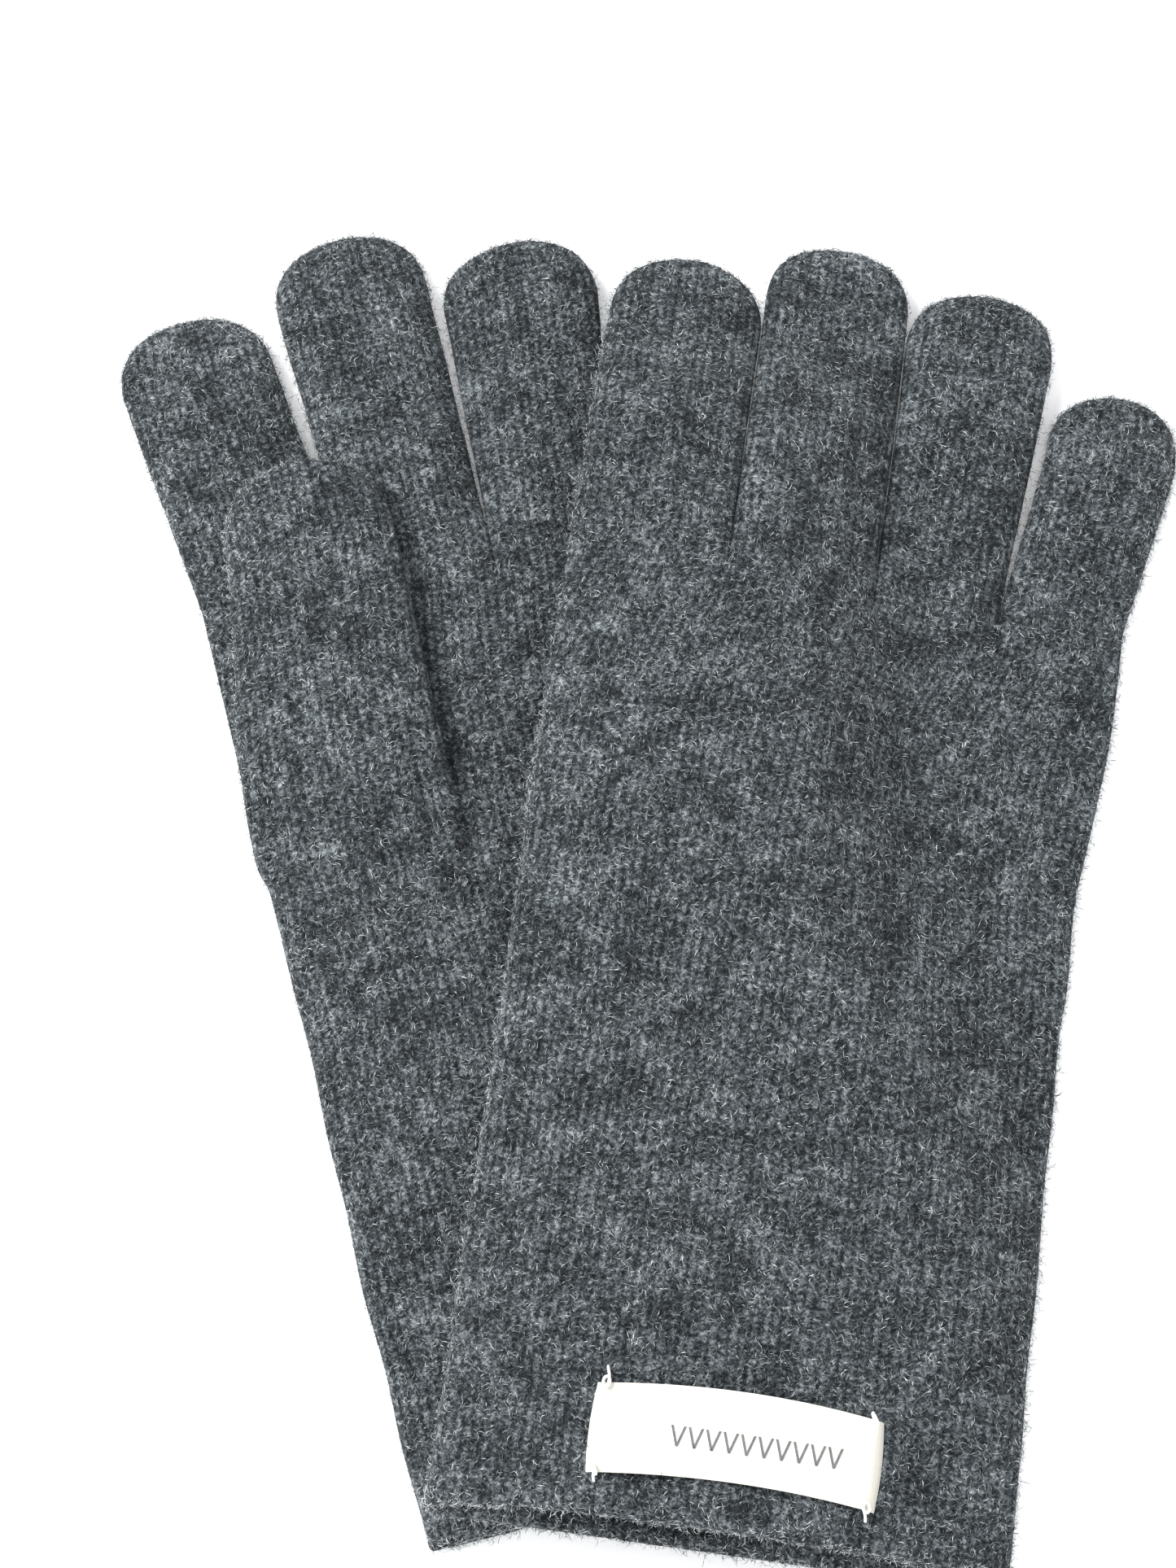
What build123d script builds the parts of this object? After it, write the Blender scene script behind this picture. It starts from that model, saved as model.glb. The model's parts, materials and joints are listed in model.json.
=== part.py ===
"""A pair of felted knitted gloves, laid one across the other on a table.

The left glove lies palm up on the table, with its thumb folded over its palm.
The right glove lies palm down on top of it, with its thumb folded under it.
Each glove is knitted in one: a rolled cuff edge, a cuff, a hand, four fingers,
and a thumb on a gusset. A woven label is tacked to the back of the right cuff.

Every section of a glove is a flattened tube of one layer of fabric. It is
lofted through cross sections that stand across the glove, in its own
coordinates: u runs across it from the index side to the little-finger side,
and v runs along it from the cuff's mouth to the fingertips.
"""

from build123d import *

import math
import os
from dataclasses import dataclass

# Fabric
WALL = 1.5  # one layer of felted knit
FOLD_HEIGHT = 2.6  # middle of the folded side edge, above the underside
CROWN = 2.4  # how early the upper layer falls towards the side edges
FLATNESS = 7.0  # the same for the lower layer, which lies nearly flat
GAP = 0.4  # between sections that move apart
SEAM = 0.1  # between sections that stay together
STACK_GAP = 0.3  # between one layer and what it lies on
TABLE_GAP = 0.2  # under the part of the right glove that reaches the table

# Along a glove, from the cuff's mouth
EDGE_LENGTH = 4.0  # rolled edge of the cuff
WRIST = 70.0
GUSSET_START = 97.0
THUMB_BASE = 125.0
KNUCKLES = 174.0

# Across a glove, from its centre line
INDEX_SIDE = -50.3
LITTLE_SIDE = 47.5
KNUCKLE_FLARE = 4.0  # what the little-finger side gains between palm and knuckles
FLARE_START = 110.0
FLARE_RUN = 60.0
SLOPE_START = 130.0  # where the hand's height starts to fall to the knuckles'

# Heights of the sections when they lie flat
HAND_HEIGHT = 8.0
KNUCKLE_HEIGHT = 6.6
FINGER_HEIGHT = 6.0
THUMB_HEIGHT = 5.4
MOUTH_BULGE = 1.7  # extra height of the upper glove's open mouth
ROLL_SWELL = 0.3  # the rolled edge stands this much proud of the cuff

# Fingertips
TIP_LENGTH = 12.5  # the rounded end of a finger
THUMB_TIP_LENGTH = 14.0
TIP_STEPS = (0.0, 0.36, 0.64, 0.84, 0.95, 0.995)
TIP_ROUNDNESS = 2.2
TIP_THIN = 0.35  # the very tip is this share as high as the finger
TIP_RAISE = 0.35  # and stands on this share of the height it has lost

# The thumb and its gusset, across the glove
THUMB_LEFT = -50.0
THUMB_RIGHT = -13.5
THUMB_TIP_LEFT = -43.2
THUMB_TIP_RIGHT = -12.5
THUMB_TIP = 196.8
GUSSET_THIN = 1.2  # height where the gusset starts
GUSSET_LEFT = -43.0
GUSSET_RIGHT = -25.0
GUSSET_CAVITY_START = 108.0
SLOT_LENGTH = 20.0  # hole from the hand's cavity into the gusset
SLOT_WIDTH = 8.0
SLOT_MIDDLE = (-32.5, 116.0)

# The label on the right cuff
LABEL_LEFT = -24.3
LABEL_RIGHT = 23.7
LABEL_LOW = 9.7
LABEL_HIGH = 24.7
LABEL_THICK = 0.7
LABEL_CLEAR = 0.1
TACK_RADIUS = 0.45
TACK_LENGTH = 2.8
TACK_INSET = 1.6

# How far the right glove drapes down past the edge of the left one
DRAPE_INSIDE = 5.0
DRAPE_OUTSIDE = 25.0
THUMB_MARGIN = 4.0  # the right glove clears its hidden thumb this far all round
THUMB_FALL = 26.0  # and comes down over this
EARLY_RISE = 0.25  # share of that by which it has risen before the gusset starts
FINGERS_START = 150.0  # where the left glove's height falls to its fingers'
FINGERS_RUN = 30.0
SPREAD_RUN = 50.0  # and its side edge spreads to its little finger's
THUMB_LEVEL_START = 145.0  # where the left thumb stops following the palm's side down
THUMB_LEVEL_RUN = 20.0

PRESSED = 0.3  # how far the table flattens the underside of the left glove
LOOSEST_DROP = 2.6  # what lies on a glove follows its side edge down by no more
LAYER_SPANS = 14  # spans between the points along one layer
OVERRUN = 1.0  # a cavity runs this far out of an open end

# Spans between the cross sections of each piece
EDGE_STEPS = 2
CUFF_STEPS = 5
HAND_STEPS = 10
BODY_STEPS = 8
GUSSET_STEPS = 3
LABEL_STEPS = 3
LABEL_STOPS = 6


@dataclass
class Finger:
    """A finger's side edges at the knuckles and at its tip, and how far it reaches."""

    name: str
    base: tuple
    top: tuple
    tip: float


@dataclass
class Glove:
    """One glove: where its mouth is, which way it points, and how it lies."""

    name: str
    mouth: tuple
    turn: float
    palm_up: bool
    bulge: float
    fingers: tuple


LEFT = Glove(
    name="left",
    mouth=(10.84, -105.75),
    turn=14.5,
    palm_up=True,
    bulge=0.0,
    fingers=(
        Finger("index", (-50.3, -22.2), (-55.6, -26.2), 231.8),
        Finger("middle", (-21.8, 3.8), (-24.2, 5.3), 241.2),
        Finger("ring", (4.2, 27.8), (6.4, 35.4), 232.5),
        Finger("little", (28.2, 51.3), (35.8, 59.3), 215.0),
    ),
)
RIGHT = Glove(
    name="right",
    mouth=(11.37, -119.35),
    turn=-8.0,
    palm_up=False,
    bulge=MOUTH_BULGE,
    fingers=(
        Finger("index", (-50.3, -21.7), (-49.9, -21.7), 234.7),
        Finger("middle", (-21.3, 5.3), (-21.3, 5.3), 243.4),
        Finger("ring", (5.7, 28.3), (5.9, 33.8), 237.9),
        Finger("little", (28.7, 51.3), (33.1, 58.3), 221.0),
    ),
)


def smooth(t):
    """Rises from 0 to 1 as t goes from 0 to 1, level at both ends."""
    t = min(max(t, 0.0), 1.0)
    return t * t * (3 - 2 * t)


def mix(a, b, share):
    """The value that is share of the way from a to b."""
    return a + (b - a) * share


# ---------------------------------------------------------------- placing


def to_row(glove, u, v):
    """The row frame's x and y of a glove's u and v."""
    turn = math.radians(glove.turn)
    return (
        glove.mouth[0] + u * math.cos(turn) - v * math.sin(turn),
        glove.mouth[1] + u * math.sin(turn) + v * math.cos(turn),
    )


def to_glove(glove, x, y):
    """A glove's u and v of the row frame's x and y."""
    turn = math.radians(glove.turn)
    dx = x - glove.mouth[0]
    dy = y - glove.mouth[1]
    return (
        dx * math.cos(turn) + dy * math.sin(turn),
        dy * math.cos(turn) - dx * math.sin(turn),
    )


def across(glove):
    """The direction of u."""
    turn = math.radians(glove.turn)
    return Vector(math.cos(turn), math.sin(turn), 0)


def along(glove):
    """The direction of v."""
    turn = math.radians(glove.turn)
    return Vector(-math.sin(turn), math.cos(turn), 0)


def station(glove, v):
    """The plane across a glove at v: its x is u, and its y is height."""
    x, y = to_row(glove, 0, v)
    return Plane(origin=(x, y, 0), x_dir=across(glove), z_dir=along(glove) * -1)


# ------------------------------------------------------------- how it lies


def side_edges(v):
    """The side edges of a cuff or hand at v."""
    flare = KNUCKLE_FLARE * smooth((v - FLARE_START) / FLARE_RUN)
    return INDEX_SIDE, LITTLE_SIDE + flare


def hand_height(glove, v):
    """The height of a cuff or hand at v."""
    flat = mix(HAND_HEIGHT, KNUCKLE_HEIGHT, smooth((v - SLOPE_START) / (KNUCKLES - SLOPE_START)))
    return flat + glove.bulge * (1 - smooth(v / WRIST))


def finger_edges(finger, v):
    """The side edges of a finger at v, without its rounded tip."""
    share = (v - KNUCKLES) / (finger.tip - TIP_LENGTH - KNUCKLES)
    return [mix(a, b, share) for a, b in zip(finger.base, finger.top)]


def crowned(glove, u, v):
    """How far the upper surface of a cuff or hand is above its underside."""
    left, right = side_edges(v)
    side = min(abs(2 * u - left - right) / (right - left), 1.0)
    return FOLD_HEIGHT + (hand_height(glove, v) - FOLD_HEIGHT) * math.sqrt(1 - side**CROWN)


def support(u, v):
    """How high the left glove holds what lies at the right glove's u and v."""
    u_below, v_below = to_glove(LEFT, *to_row(RIGHT, u, v))
    ahead = smooth((v_below - FINGERS_START) / FINGERS_RUN)
    top = mix(HAND_HEIGHT, FINGER_HEIGHT, ahead) + STACK_GAP
    spread = smooth((v_below - FINGERS_START) / SPREAD_RUN)
    edge = mix(side_edges(v_below)[1], LEFT.fingers[-1].top[1], spread)
    past = (u_below - edge + DRAPE_INSIDE) / (DRAPE_INSIDE + DRAPE_OUTSIDE)
    return mix(top, TABLE_GAP, smooth(past))


def over_thumb(u, v):
    """Share of the hidden thumb's height that lifts the right glove at u and v."""
    sideways = 1 - smooth((u - THUMB_TIP_RIGHT - THUMB_MARGIN) / THUMB_FALL)
    start = smooth((v - GUSSET_START + 2 * THUMB_MARGIN) / THUMB_FALL + EARLY_RISE)
    end = 1 - smooth((v - THUMB_TIP - THUMB_MARGIN) / THUMB_FALL)
    return sideways * start * end


def underside(glove, u, v):
    """Height of the underside of a glove's cuff, hand and fingers."""
    if glove.palm_up:
        return -PRESSED
    return support(u, v) + (THUMB_HEIGHT + 3 * STACK_GAP) * over_thumb(u, v)


def thumb_underside(glove, u, v):
    """Height of the underside of a glove's thumb."""
    if glove.palm_up:
        level = smooth((v - THUMB_LEVEL_START) / THUMB_LEVEL_RUN)
        drop = min(hand_height(glove, v) - crowned(glove, u, v), LOOSEST_DROP) * (1 - level)
        return hand_height(glove, v) - drop + STACK_GAP
    return support(u, v) + STACK_GAP


def gusset_underside(glove, u, v, height):
    """Height of the underside of a gusset that is so high."""
    if glove.palm_up:
        return thumb_underside(glove, u, v)
    return underside(glove, u, v) - STACK_GAP - height


# ------------------------------------------------------------ the sections


def profile(edges, height, inset, lift):
    """Points along the upper and the lower layer of a flattened tube.

    Both run from side fold to side fold: the upper one leftwards, the lower one
    back. inset moves them inwards, for the cavity, and lift(u) is the height of
    what the section lies on.
    """
    left, right = edges
    middle = (left + right) / 2
    half = (right - left) / 2 - inset
    fold = min(FOLD_HEIGHT, height / 2)
    upper = []
    lower = []
    for step in range(LAYER_SPANS + 1):
        side = math.cos(math.pi * step / LAYER_SPANS)
        u = middle + half * side
        crown = math.sqrt(max(1 - abs(side) ** CROWN, 0.0))
        flat = math.sqrt(max(1 - abs(side) ** FLATNESS, 0.0))
        upper.append((u, lift(u) + fold + (height - inset - fold) * crown))
        lower.append((u, lift(u) + fold - (fold - inset) * flat))
    return upper, lower[::-1]


def open_tube(glove, low, high, steps, swell=0.0):
    """The part of a cuff or hand from low to high, open at both ends."""
    with BuildPart() as tube:
        for inset, run, mode in ((-swell, 0.0, Mode.ADD), (WALL, OVERRUN, Mode.SUBTRACT)):
            for step in range(steps + 1):
                v = mix(high + run, low - run, step / steps)
                upper, lower = profile(
                    side_edges(v), hand_height(glove, v), inset, lambda u: underside(glove, u, v)
                )
                with BuildSketch(station(glove, v)):
                    with BuildLine():
                        Spline(*upper)
                        Spline(*lower)
                    make_face()
            loft(mode=mode)
        if glove.palm_up:
            split(bisect_by=Plane.XY, keep=Keep.TOP)
    return tube


def tip_stations(base, tip, tip_length):
    """From the tip down to the base: v, and the share of the full width there."""
    shoulder = tip - tip_length
    stations = [(mix(base, shoulder, step / BODY_STEPS), 1.0) for step in range(BODY_STEPS)]
    for share in TIP_STEPS:
        stations.append((shoulder + tip_length * share, math.sqrt(1 - share**TIP_ROUNDNESS)))
    return reversed(stations)


def rounded_tube(glove, base, tip, tip_length, edges_at, full_height, lift_at):
    """A tube from base to a rounded tip, open at its base."""
    with BuildPart() as tube:
        for inset, start, end, mode in (
            (0.0, base, tip, Mode.ADD),
            (WALL, base - OVERRUN, tip - WALL, Mode.SUBTRACT),
        ):
            for v, share in tip_stations(start, end, tip_length):
                left, right = edges_at(min(v, end - tip_length))
                middle = (left + right) / 2
                half = (right - left) / 2 * share
                height = full_height * mix(TIP_THIN, 1.0, share)
                raised = (full_height - height) * TIP_RAISE
                upper, lower = profile(
                    (middle - half, middle + half),
                    height,
                    inset * mix(TIP_THIN, 1.0, share),
                    lambda u: lift_at(u, v) + raised,
                )
                with BuildSketch(station(glove, v)):
                    with BuildLine():
                        Spline(*upper)
                        Spline(*lower)
                    make_face()
            loft(mode=mode)
        if glove.palm_up:
            split(bisect_by=Plane.XY, keep=Keep.TOP)
    return tube


def make_finger(glove, finger):
    """One finger, from its knuckle to its tip."""
    return rounded_tube(
        glove,
        KNUCKLES + GAP,
        finger.tip,
        TIP_LENGTH,
        lambda v: finger_edges(finger, v),
        FINGER_HEIGHT,
        lambda u, v: underside(glove, u, v),
    )


def thumb_edges(v):
    """The side edges of a thumb at v."""
    share = smooth((v - THUMB_BASE) / (THUMB_TIP - THUMB_TIP_LENGTH - THUMB_BASE))
    return mix(THUMB_LEFT, THUMB_TIP_LEFT, share), mix(THUMB_RIGHT, THUMB_TIP_RIGHT, share)


def make_thumb(glove):
    """The thumb, from the end of its gusset to its tip."""
    return rounded_tube(
        glove,
        THUMB_BASE + GAP,
        THUMB_TIP,
        THUMB_TIP_LENGTH,
        thumb_edges,
        THUMB_HEIGHT,
        lambda u, v: thumb_underside(glove, u, v),
    )


def gusset_section(glove, v, inset):
    """Points round the gusset at v: a wedge that widens and thickens to the thumb."""
    share = smooth((v - GUSSET_START) / (THUMB_BASE - GUSSET_START))
    height = mix(GUSSET_THIN, THUMB_HEIGHT, share)
    edges = (mix(GUSSET_LEFT, THUMB_LEFT, share), mix(GUSSET_RIGHT, THUMB_RIGHT, share))
    return profile(edges, height, inset, lambda u: gusset_underside(glove, u, v, height))


def slot_plane(glove, height):
    """A level plane over the middle of the hole between hand and gusset."""
    x, y = to_row(glove, *SLOT_MIDDLE)
    return Plane(origin=(x, y, height), x_dir=across(glove), z_dir=(0, 0, 1))


def slot_span(glove):
    """The heights between which that hole goes through one layer of each."""
    u, v = SLOT_MIDDLE
    if glove.palm_up:
        return HAND_HEIGHT / 2, thumb_underside(glove, u, v) + THUMB_HEIGHT / 2
    return underside(glove, u, v) - THUMB_HEIGHT / 2, underside(glove, u, v) + HAND_HEIGHT / 2


def make_gusset(glove):
    """The wedge of fabric that leaves the palm and carries the thumb."""
    low, high = slot_span(glove)
    with BuildPart() as gusset:
        for inset, start, end, mode in (
            (0.0, GUSSET_START, THUMB_BASE, Mode.ADD),
            (WALL, GUSSET_CAVITY_START, THUMB_BASE + OVERRUN, Mode.SUBTRACT),
        ):
            for step in range(GUSSET_STEPS + 1):
                v = mix(end, start, step / GUSSET_STEPS)
                upper, lower = gusset_section(glove, v, inset)
                with BuildSketch(station(glove, v)):
                    with BuildLine():
                        Spline(*upper)
                        Spline(*lower)
                    make_face()
            loft(mode=mode)
        with BuildSketch(slot_plane(glove, low)):
            SlotOverall(SLOT_LENGTH, SLOT_WIDTH)
        extrude(amount=high - low, mode=Mode.SUBTRACT)
    return gusset


def make_hand(glove):
    """The hand from wrist to knuckles, with the hole that leads into the thumb."""
    low, high = slot_span(glove)
    with BuildPart() as hand:
        add(open_tube(glove, WRIST + SEAM, KNUCKLES, HAND_STEPS).part)
        with BuildSketch(slot_plane(glove, low)):
            SlotOverall(SLOT_LENGTH, SLOT_WIDTH)
        extrude(amount=high - low, mode=Mode.SUBTRACT)
    return hand


# ------------------------------------------------------------- the label


def label_base(u, v):
    """Height of the label's underside: it follows the right cuff's upper layer."""
    return underside(RIGHT, u, v) + crowned(RIGHT, u, v) + LABEL_CLEAR


def make_label():
    """The woven label, a thin strip that lies on the right cuff."""
    with BuildPart() as label:
        for step in range(LABEL_STEPS + 1):
            v = mix(LABEL_HIGH, LABEL_LOW, step / LABEL_STEPS)
            stops = [mix(LABEL_LEFT, LABEL_RIGHT, stop / LABEL_STOPS) for stop in range(LABEL_STOPS + 1)]
            lower = [(u, label_base(u, v)) for u in stops]
            upper = [(u, height + LABEL_THICK) for u, height in lower]
            with BuildSketch(station(RIGHT, v)):
                with BuildLine():
                    Spline(*lower)
                    Line(lower[-1], upper[-1])
                    Spline(*reversed(upper))
                    Line(upper[0], lower[0])
                make_face()
        loft()
    return label


def make_tacks():
    """The four short stitches that hold the label by its corners."""
    with BuildPart() as tacks:
        for u in (LABEL_LEFT + TACK_INSET, LABEL_RIGHT - TACK_INSET):
            for v in (LABEL_LOW, LABEL_HIGH - TACK_LENGTH):
                height = max(label_base(u, v), label_base(u, v + TACK_LENGTH)) + LABEL_THICK
                x, y = to_row(RIGHT, u, v)
                start = Vector(x, y, height + TACK_RADIUS + LABEL_CLEAR)
                with BuildSketch(Plane(origin=start, x_dir=across(RIGHT), z_dir=along(RIGHT))):
                    Circle(TACK_RADIUS)
                extrude(amount=TACK_LENGTH)
    return tacks


# ------------------------------------------------------------- the nodes


def make_glove(glove):
    """Every knitted section of one glove, by the rest of its node's name."""
    sections = {
        "cuff_edge": open_tube(glove, 0.0, EDGE_LENGTH, EDGE_STEPS, ROLL_SWELL),
        "cuff": open_tube(glove, EDGE_LENGTH + SEAM, WRIST, CUFF_STEPS),
        "hand": make_hand(glove),
        "thumb_gusset": make_gusset(glove),
        "thumb": make_thumb(glove),
    }
    for finger in glove.fingers:
        sections[f"{finger.name}_finger"] = make_finger(glove, finger)
    return sections


def main():
    """Builds every node and writes its STEP file."""
    nodes = {"label": make_label(), "label_tacks": make_tacks()}
    for glove in (LEFT, RIGHT):
        for section, part in make_glove(glove).items():
            nodes[f"{glove.name}_{section}"] = part
    os.makedirs("parts", exist_ok=True)
    for name, node in nodes.items():
        node.part.label = name
        export_step(node.part, f"parts/{name}.step")


main()
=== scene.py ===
"""A pair of felted knitted gloves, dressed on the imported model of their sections.

The left glove lies palm up, with its thumb folded over its palm. The right one
lies across it, palm down, with its thumb folded under it. Every surface is a
tube of knitted fabric, worked out as a grid: u runs across a glove from its
index side, v runs from its cuff's mouth to its fingertips, and w is the height
above what the glove lies on. Lengths are in millimetres until they reach a mesh.
"""

import json
import logging
import math
from dataclasses import dataclass, field
from enum import Enum
from typing import Callable

import bpy
import numpy as np
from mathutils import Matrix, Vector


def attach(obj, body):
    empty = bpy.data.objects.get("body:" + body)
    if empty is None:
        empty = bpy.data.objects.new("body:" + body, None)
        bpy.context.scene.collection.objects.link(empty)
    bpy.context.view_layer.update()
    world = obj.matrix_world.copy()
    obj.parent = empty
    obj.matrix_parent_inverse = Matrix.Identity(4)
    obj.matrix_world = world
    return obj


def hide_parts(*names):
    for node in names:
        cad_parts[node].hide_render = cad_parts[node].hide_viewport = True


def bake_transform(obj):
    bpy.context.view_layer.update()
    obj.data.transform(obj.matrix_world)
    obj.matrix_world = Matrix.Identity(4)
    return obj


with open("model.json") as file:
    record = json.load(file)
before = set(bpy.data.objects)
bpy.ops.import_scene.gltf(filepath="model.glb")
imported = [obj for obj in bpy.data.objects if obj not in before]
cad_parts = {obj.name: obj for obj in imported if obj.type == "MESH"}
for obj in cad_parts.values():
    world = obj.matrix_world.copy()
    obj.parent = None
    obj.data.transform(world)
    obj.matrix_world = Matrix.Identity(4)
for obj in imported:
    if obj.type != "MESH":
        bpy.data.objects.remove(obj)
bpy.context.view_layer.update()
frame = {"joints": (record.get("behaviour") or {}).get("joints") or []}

log = logging.getLogger("gloves")

MM = 0.001
SHARP = math.radians(60)  # edges that turn more than this are shaded as corners
Array = np.ndarray


# ---------------------------------------------------------------- small maths


def smooth(t: Array | float) -> Array | float:
    """Rises from 0 to 1 as t goes from 0 to 1: t * t * (3 - 2 t), level at both ends."""
    t = np.clip(t, 0.0, 1.0)
    return t * t * (3 - 2 * t)


def mix(a: Array | float, b: Array | float, share: Array | float) -> Array | float:
    """The value that is share of the way from a to b."""
    return a + (b - a) * share


def crown(side: Array, power: float) -> Array:
    """Height share of a puffed layer: the square root of 1 - |side| to a power."""
    return np.sqrt(np.clip(1 - np.abs(side) ** power, 0.0, 1.0))


def waves(x: Array, y: Array, length: float, seed: int, count: int = 9) -> Array:
    """Smooth random relief from -1 to 1: a mean of sine waves in random directions.

    Args:
        x: Places across, in the unit of length.
        y: Places along.
        length: The typical distance between crests.
        seed: Chooses the directions and phases.
        count: How many waves are added.

    Returns:
        The relief at each place.
    """
    draw = np.random.default_rng(seed)
    total = np.zeros(np.broadcast(x, y).shape)
    for _ in range(count):
        angle = draw.uniform(0, 2 * math.pi)
        rate = 2 * math.pi / (length * draw.uniform(0.7, 1.6))
        phase = draw.uniform(0, 2 * math.pi)
        total += np.sin(rate * (x * math.cos(angle) + y * math.sin(angle)) + phase)
    return total / math.sqrt(count) / 1.5


# ---------------------------------------------------------------- meshes


def grid_faces(rows: int, columns: int, wrap: bool) -> Array:
    """Quads of a grid of rows by columns of points.

    Args:
        rows: Rows of points.
        columns: Points in a row.
        wrap: Whether the last column joins the first.

    Returns:
        One row of four point numbers per quad, turning from column to row.
    """
    last = columns if wrap else columns - 1
    row = np.arange(rows - 1)[:, None]
    here = np.arange(last)[None, :]
    there = (here + 1) % columns
    this, after = row * columns, (row + 1) * columns
    return np.stack([this + here, this + there, after + there, after + here], axis=-1).reshape(-1, 4)


def flat_cap(row: int, columns: int) -> Array:
    """Quads that close a flattened tube at one row, from its upper to its lower layer.

    Args:
        row: The row of points that is closed.
        columns: Points in a row, the upper layer's first.

    Returns:
        The quads, facing back from the first row of a tube whose own quads face
        outwards; the two at the side folds have two points in one place.
    """
    half = columns // 2
    upper = np.arange(half)
    lower = (columns - upper) % columns
    next_upper = upper + 1
    next_lower = (columns - next_upper) % columns
    return np.stack([upper, lower, next_lower, next_upper], axis=-1) + row * columns


def tube_faces(rows: int, columns: int, turned: bool = False) -> Array:
    """Quads of a closed tube, with a flat cap at both ends.

    Args:
        rows: Rows of points, each a loop.
        columns: Points in a row.
        turned: Whether its columns' direction crossed with its rows' points inwards.

    Returns:
        The quads, facing outwards.
    """
    quads = [grid_faces(rows, columns, True), flat_cap(0, columns), flat_cap(rows - 1, columns)[:, ::-1]]
    faces = np.concatenate(quads)
    return faces[:, ::-1] if turned else faces


def new_mesh(name: str, points: Array, faces: Array, uv: Array | None = None) -> bpy.types.Object:
    """Makes a smooth-shaded mesh object at the origin.

    Args:
        name: The piece's name.
        points: Its points, in millimetres, in the row frame.
        faces: Quads; a quad with a doubled point becomes a triangle.
        uv: A place in the fabric for each point, in metres.

    Returns:
        The object.
    """
    mesh = bpy.data.meshes.new(name)
    mesh.from_pydata((points.reshape(-1, 3) * MM).tolist(), [], tidy_faces(faces))
    if uv is not None:
        layer = mesh.uv_layers.new(name="knit")
        corner = np.empty(len(mesh.loops), dtype=np.int32)
        mesh.loops.foreach_get("vertex_index", corner)
        layer.data.foreach_set("uv", uv.reshape(-1, 2)[corner].astype(np.float32).ravel())
    mesh.polygons.foreach_set("use_smooth", np.ones(len(mesh.polygons), dtype=bool))
    mesh.validate()
    mesh.update()
    mesh.set_sharp_from_angle(angle=SHARP)  # so that a flat cap doesn't bend its tube's shading
    piece = bpy.data.objects.new(name, mesh)
    bpy.context.scene.collection.objects.link(piece)
    return piece


def looped(top: Array, bottom: Array) -> Array:
    """Loops that run over the upper layer and back under the lower one, from two grids of the same columns."""
    return np.concatenate([top, bottom[:, -2:0:-1]], axis=1)


def tidy_faces(faces: Array) -> list[list[int]]:
    """Faces as lists, with doubled points left out.

    Args:
        faces: Quads as rows of four point numbers.

    Returns:
        Quads and triangles.
    """
    doubled = (faces == np.roll(faces, 1, axis=1)).any(axis=1)
    kept = faces[~doubled].tolist()
    return kept + [list(dict.fromkeys(face)) for face in faces[doubled].tolist()]


def normals_of(grid: Array) -> Array:
    """Outward unit normals of a wrapped grid of points, from its neighbours' differences.

    Args:
        grid: Points, rows by columns by 3, wrapped along the columns.

    Returns:
        A normal for each point.
    """
    across = np.roll(grid, -1, axis=1) - np.roll(grid, 1, axis=1)
    along = np.gradient(grid, axis=0)
    normal = np.cross(across, along)
    return normal / np.maximum(np.linalg.norm(normal, axis=-1, keepdims=True), 1e-9)


# ---------------------------------------------------------------- finishes


def linear(colour: str) -> tuple[float, float, float, float]:
    """Turns an sRGB hex colour, such as #808080, into linear red, green, blue and alpha."""
    values = [int(colour[start : start + 2], 16) / 255 for start in (1, 3, 5)]
    return (*(v / 12.92 if v <= 0.04045 else ((v + 0.055) / 1.055) ** 2.4 for v in values), 1.0)


def add_node(
    tree: bpy.types.NodeTree,
    kind: str,
    settings: dict[str, object] | None = None,
    values: dict[str | int, object] | None = None,
    links: dict[str | int, bpy.types.NodeSocket] | None = None,
    stops: dict[float, str] | None = None,
) -> bpy.types.Node:
    """Adds one shader node.

    Args:
        tree: The material's node tree.
        kind: The node's type, without ShaderNode.
        settings: The node's own properties.
        values: Input sockets' values, by name or number.
        links: Input sockets' sources, by name or number.
        stops: A colour ramp's places and hex colours, in order.

    Returns:
        The node.
    """
    node = tree.nodes.new("ShaderNode" + kind)
    for name, value in (settings or {}).items():
        setattr(node, name, value)
    for name, value in (values or {}).items():
        node.inputs[name].default_value = value
    for name, source in (links or {}).items():
        tree.links.new(source, node.inputs[name])
    for number, (place, colour) in enumerate((stops or {}).items()):
        elements = node.color_ramp.elements
        element = elements[number] if number < len(elements) else elements.new(place)
        element.position, element.color = place, linear(colour)
    return node


def weighted_sum(
    tree: bpy.types.NodeTree, terms: tuple[tuple[bpy.types.NodeSocket, float], ...], start: float
) -> bpy.types.NodeSocket:
    """Adds up sockets times weights.

    Args:
        tree: The material's node tree.
        terms: Sockets and their weights.
        start: The value that they are added to.

    Returns:
        The sum's socket.
    """
    value: float | bpy.types.NodeSocket = start
    for socket, weight in terms:
        settings = {"operation": "MULTIPLY_ADD"}
        if isinstance(value, float):
            node = add_node(tree, "Math", settings, {1: weight, 2: value}, {0: socket})
        else:
            node = add_node(tree, "Math", settings, {1: weight}, {0: socket, 2: value})
        value = node.outputs[0]
    return value


def mottles(
    tree: bpy.types.NodeTree, place: bpy.types.NodeSocket, grains: tuple[tuple[float, float, float], ...]
) -> list[bpy.types.NodeSocket]:
    """Random mottles of several sizes.

    Args:
        tree: The material's node tree.
        place: Coordinates in metres.
        grains: Each mottle's waves per metre, its detail and its roughness.

    Returns:
        Their grey sockets.
    """
    return [
        add_node(
            tree, "TexNoise", None, {"Scale": scale, "Detail": detail, "Roughness": rough}, {"Vector": place}
        ).outputs["Fac"]
        for scale, detail, rough in grains
    ]


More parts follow.
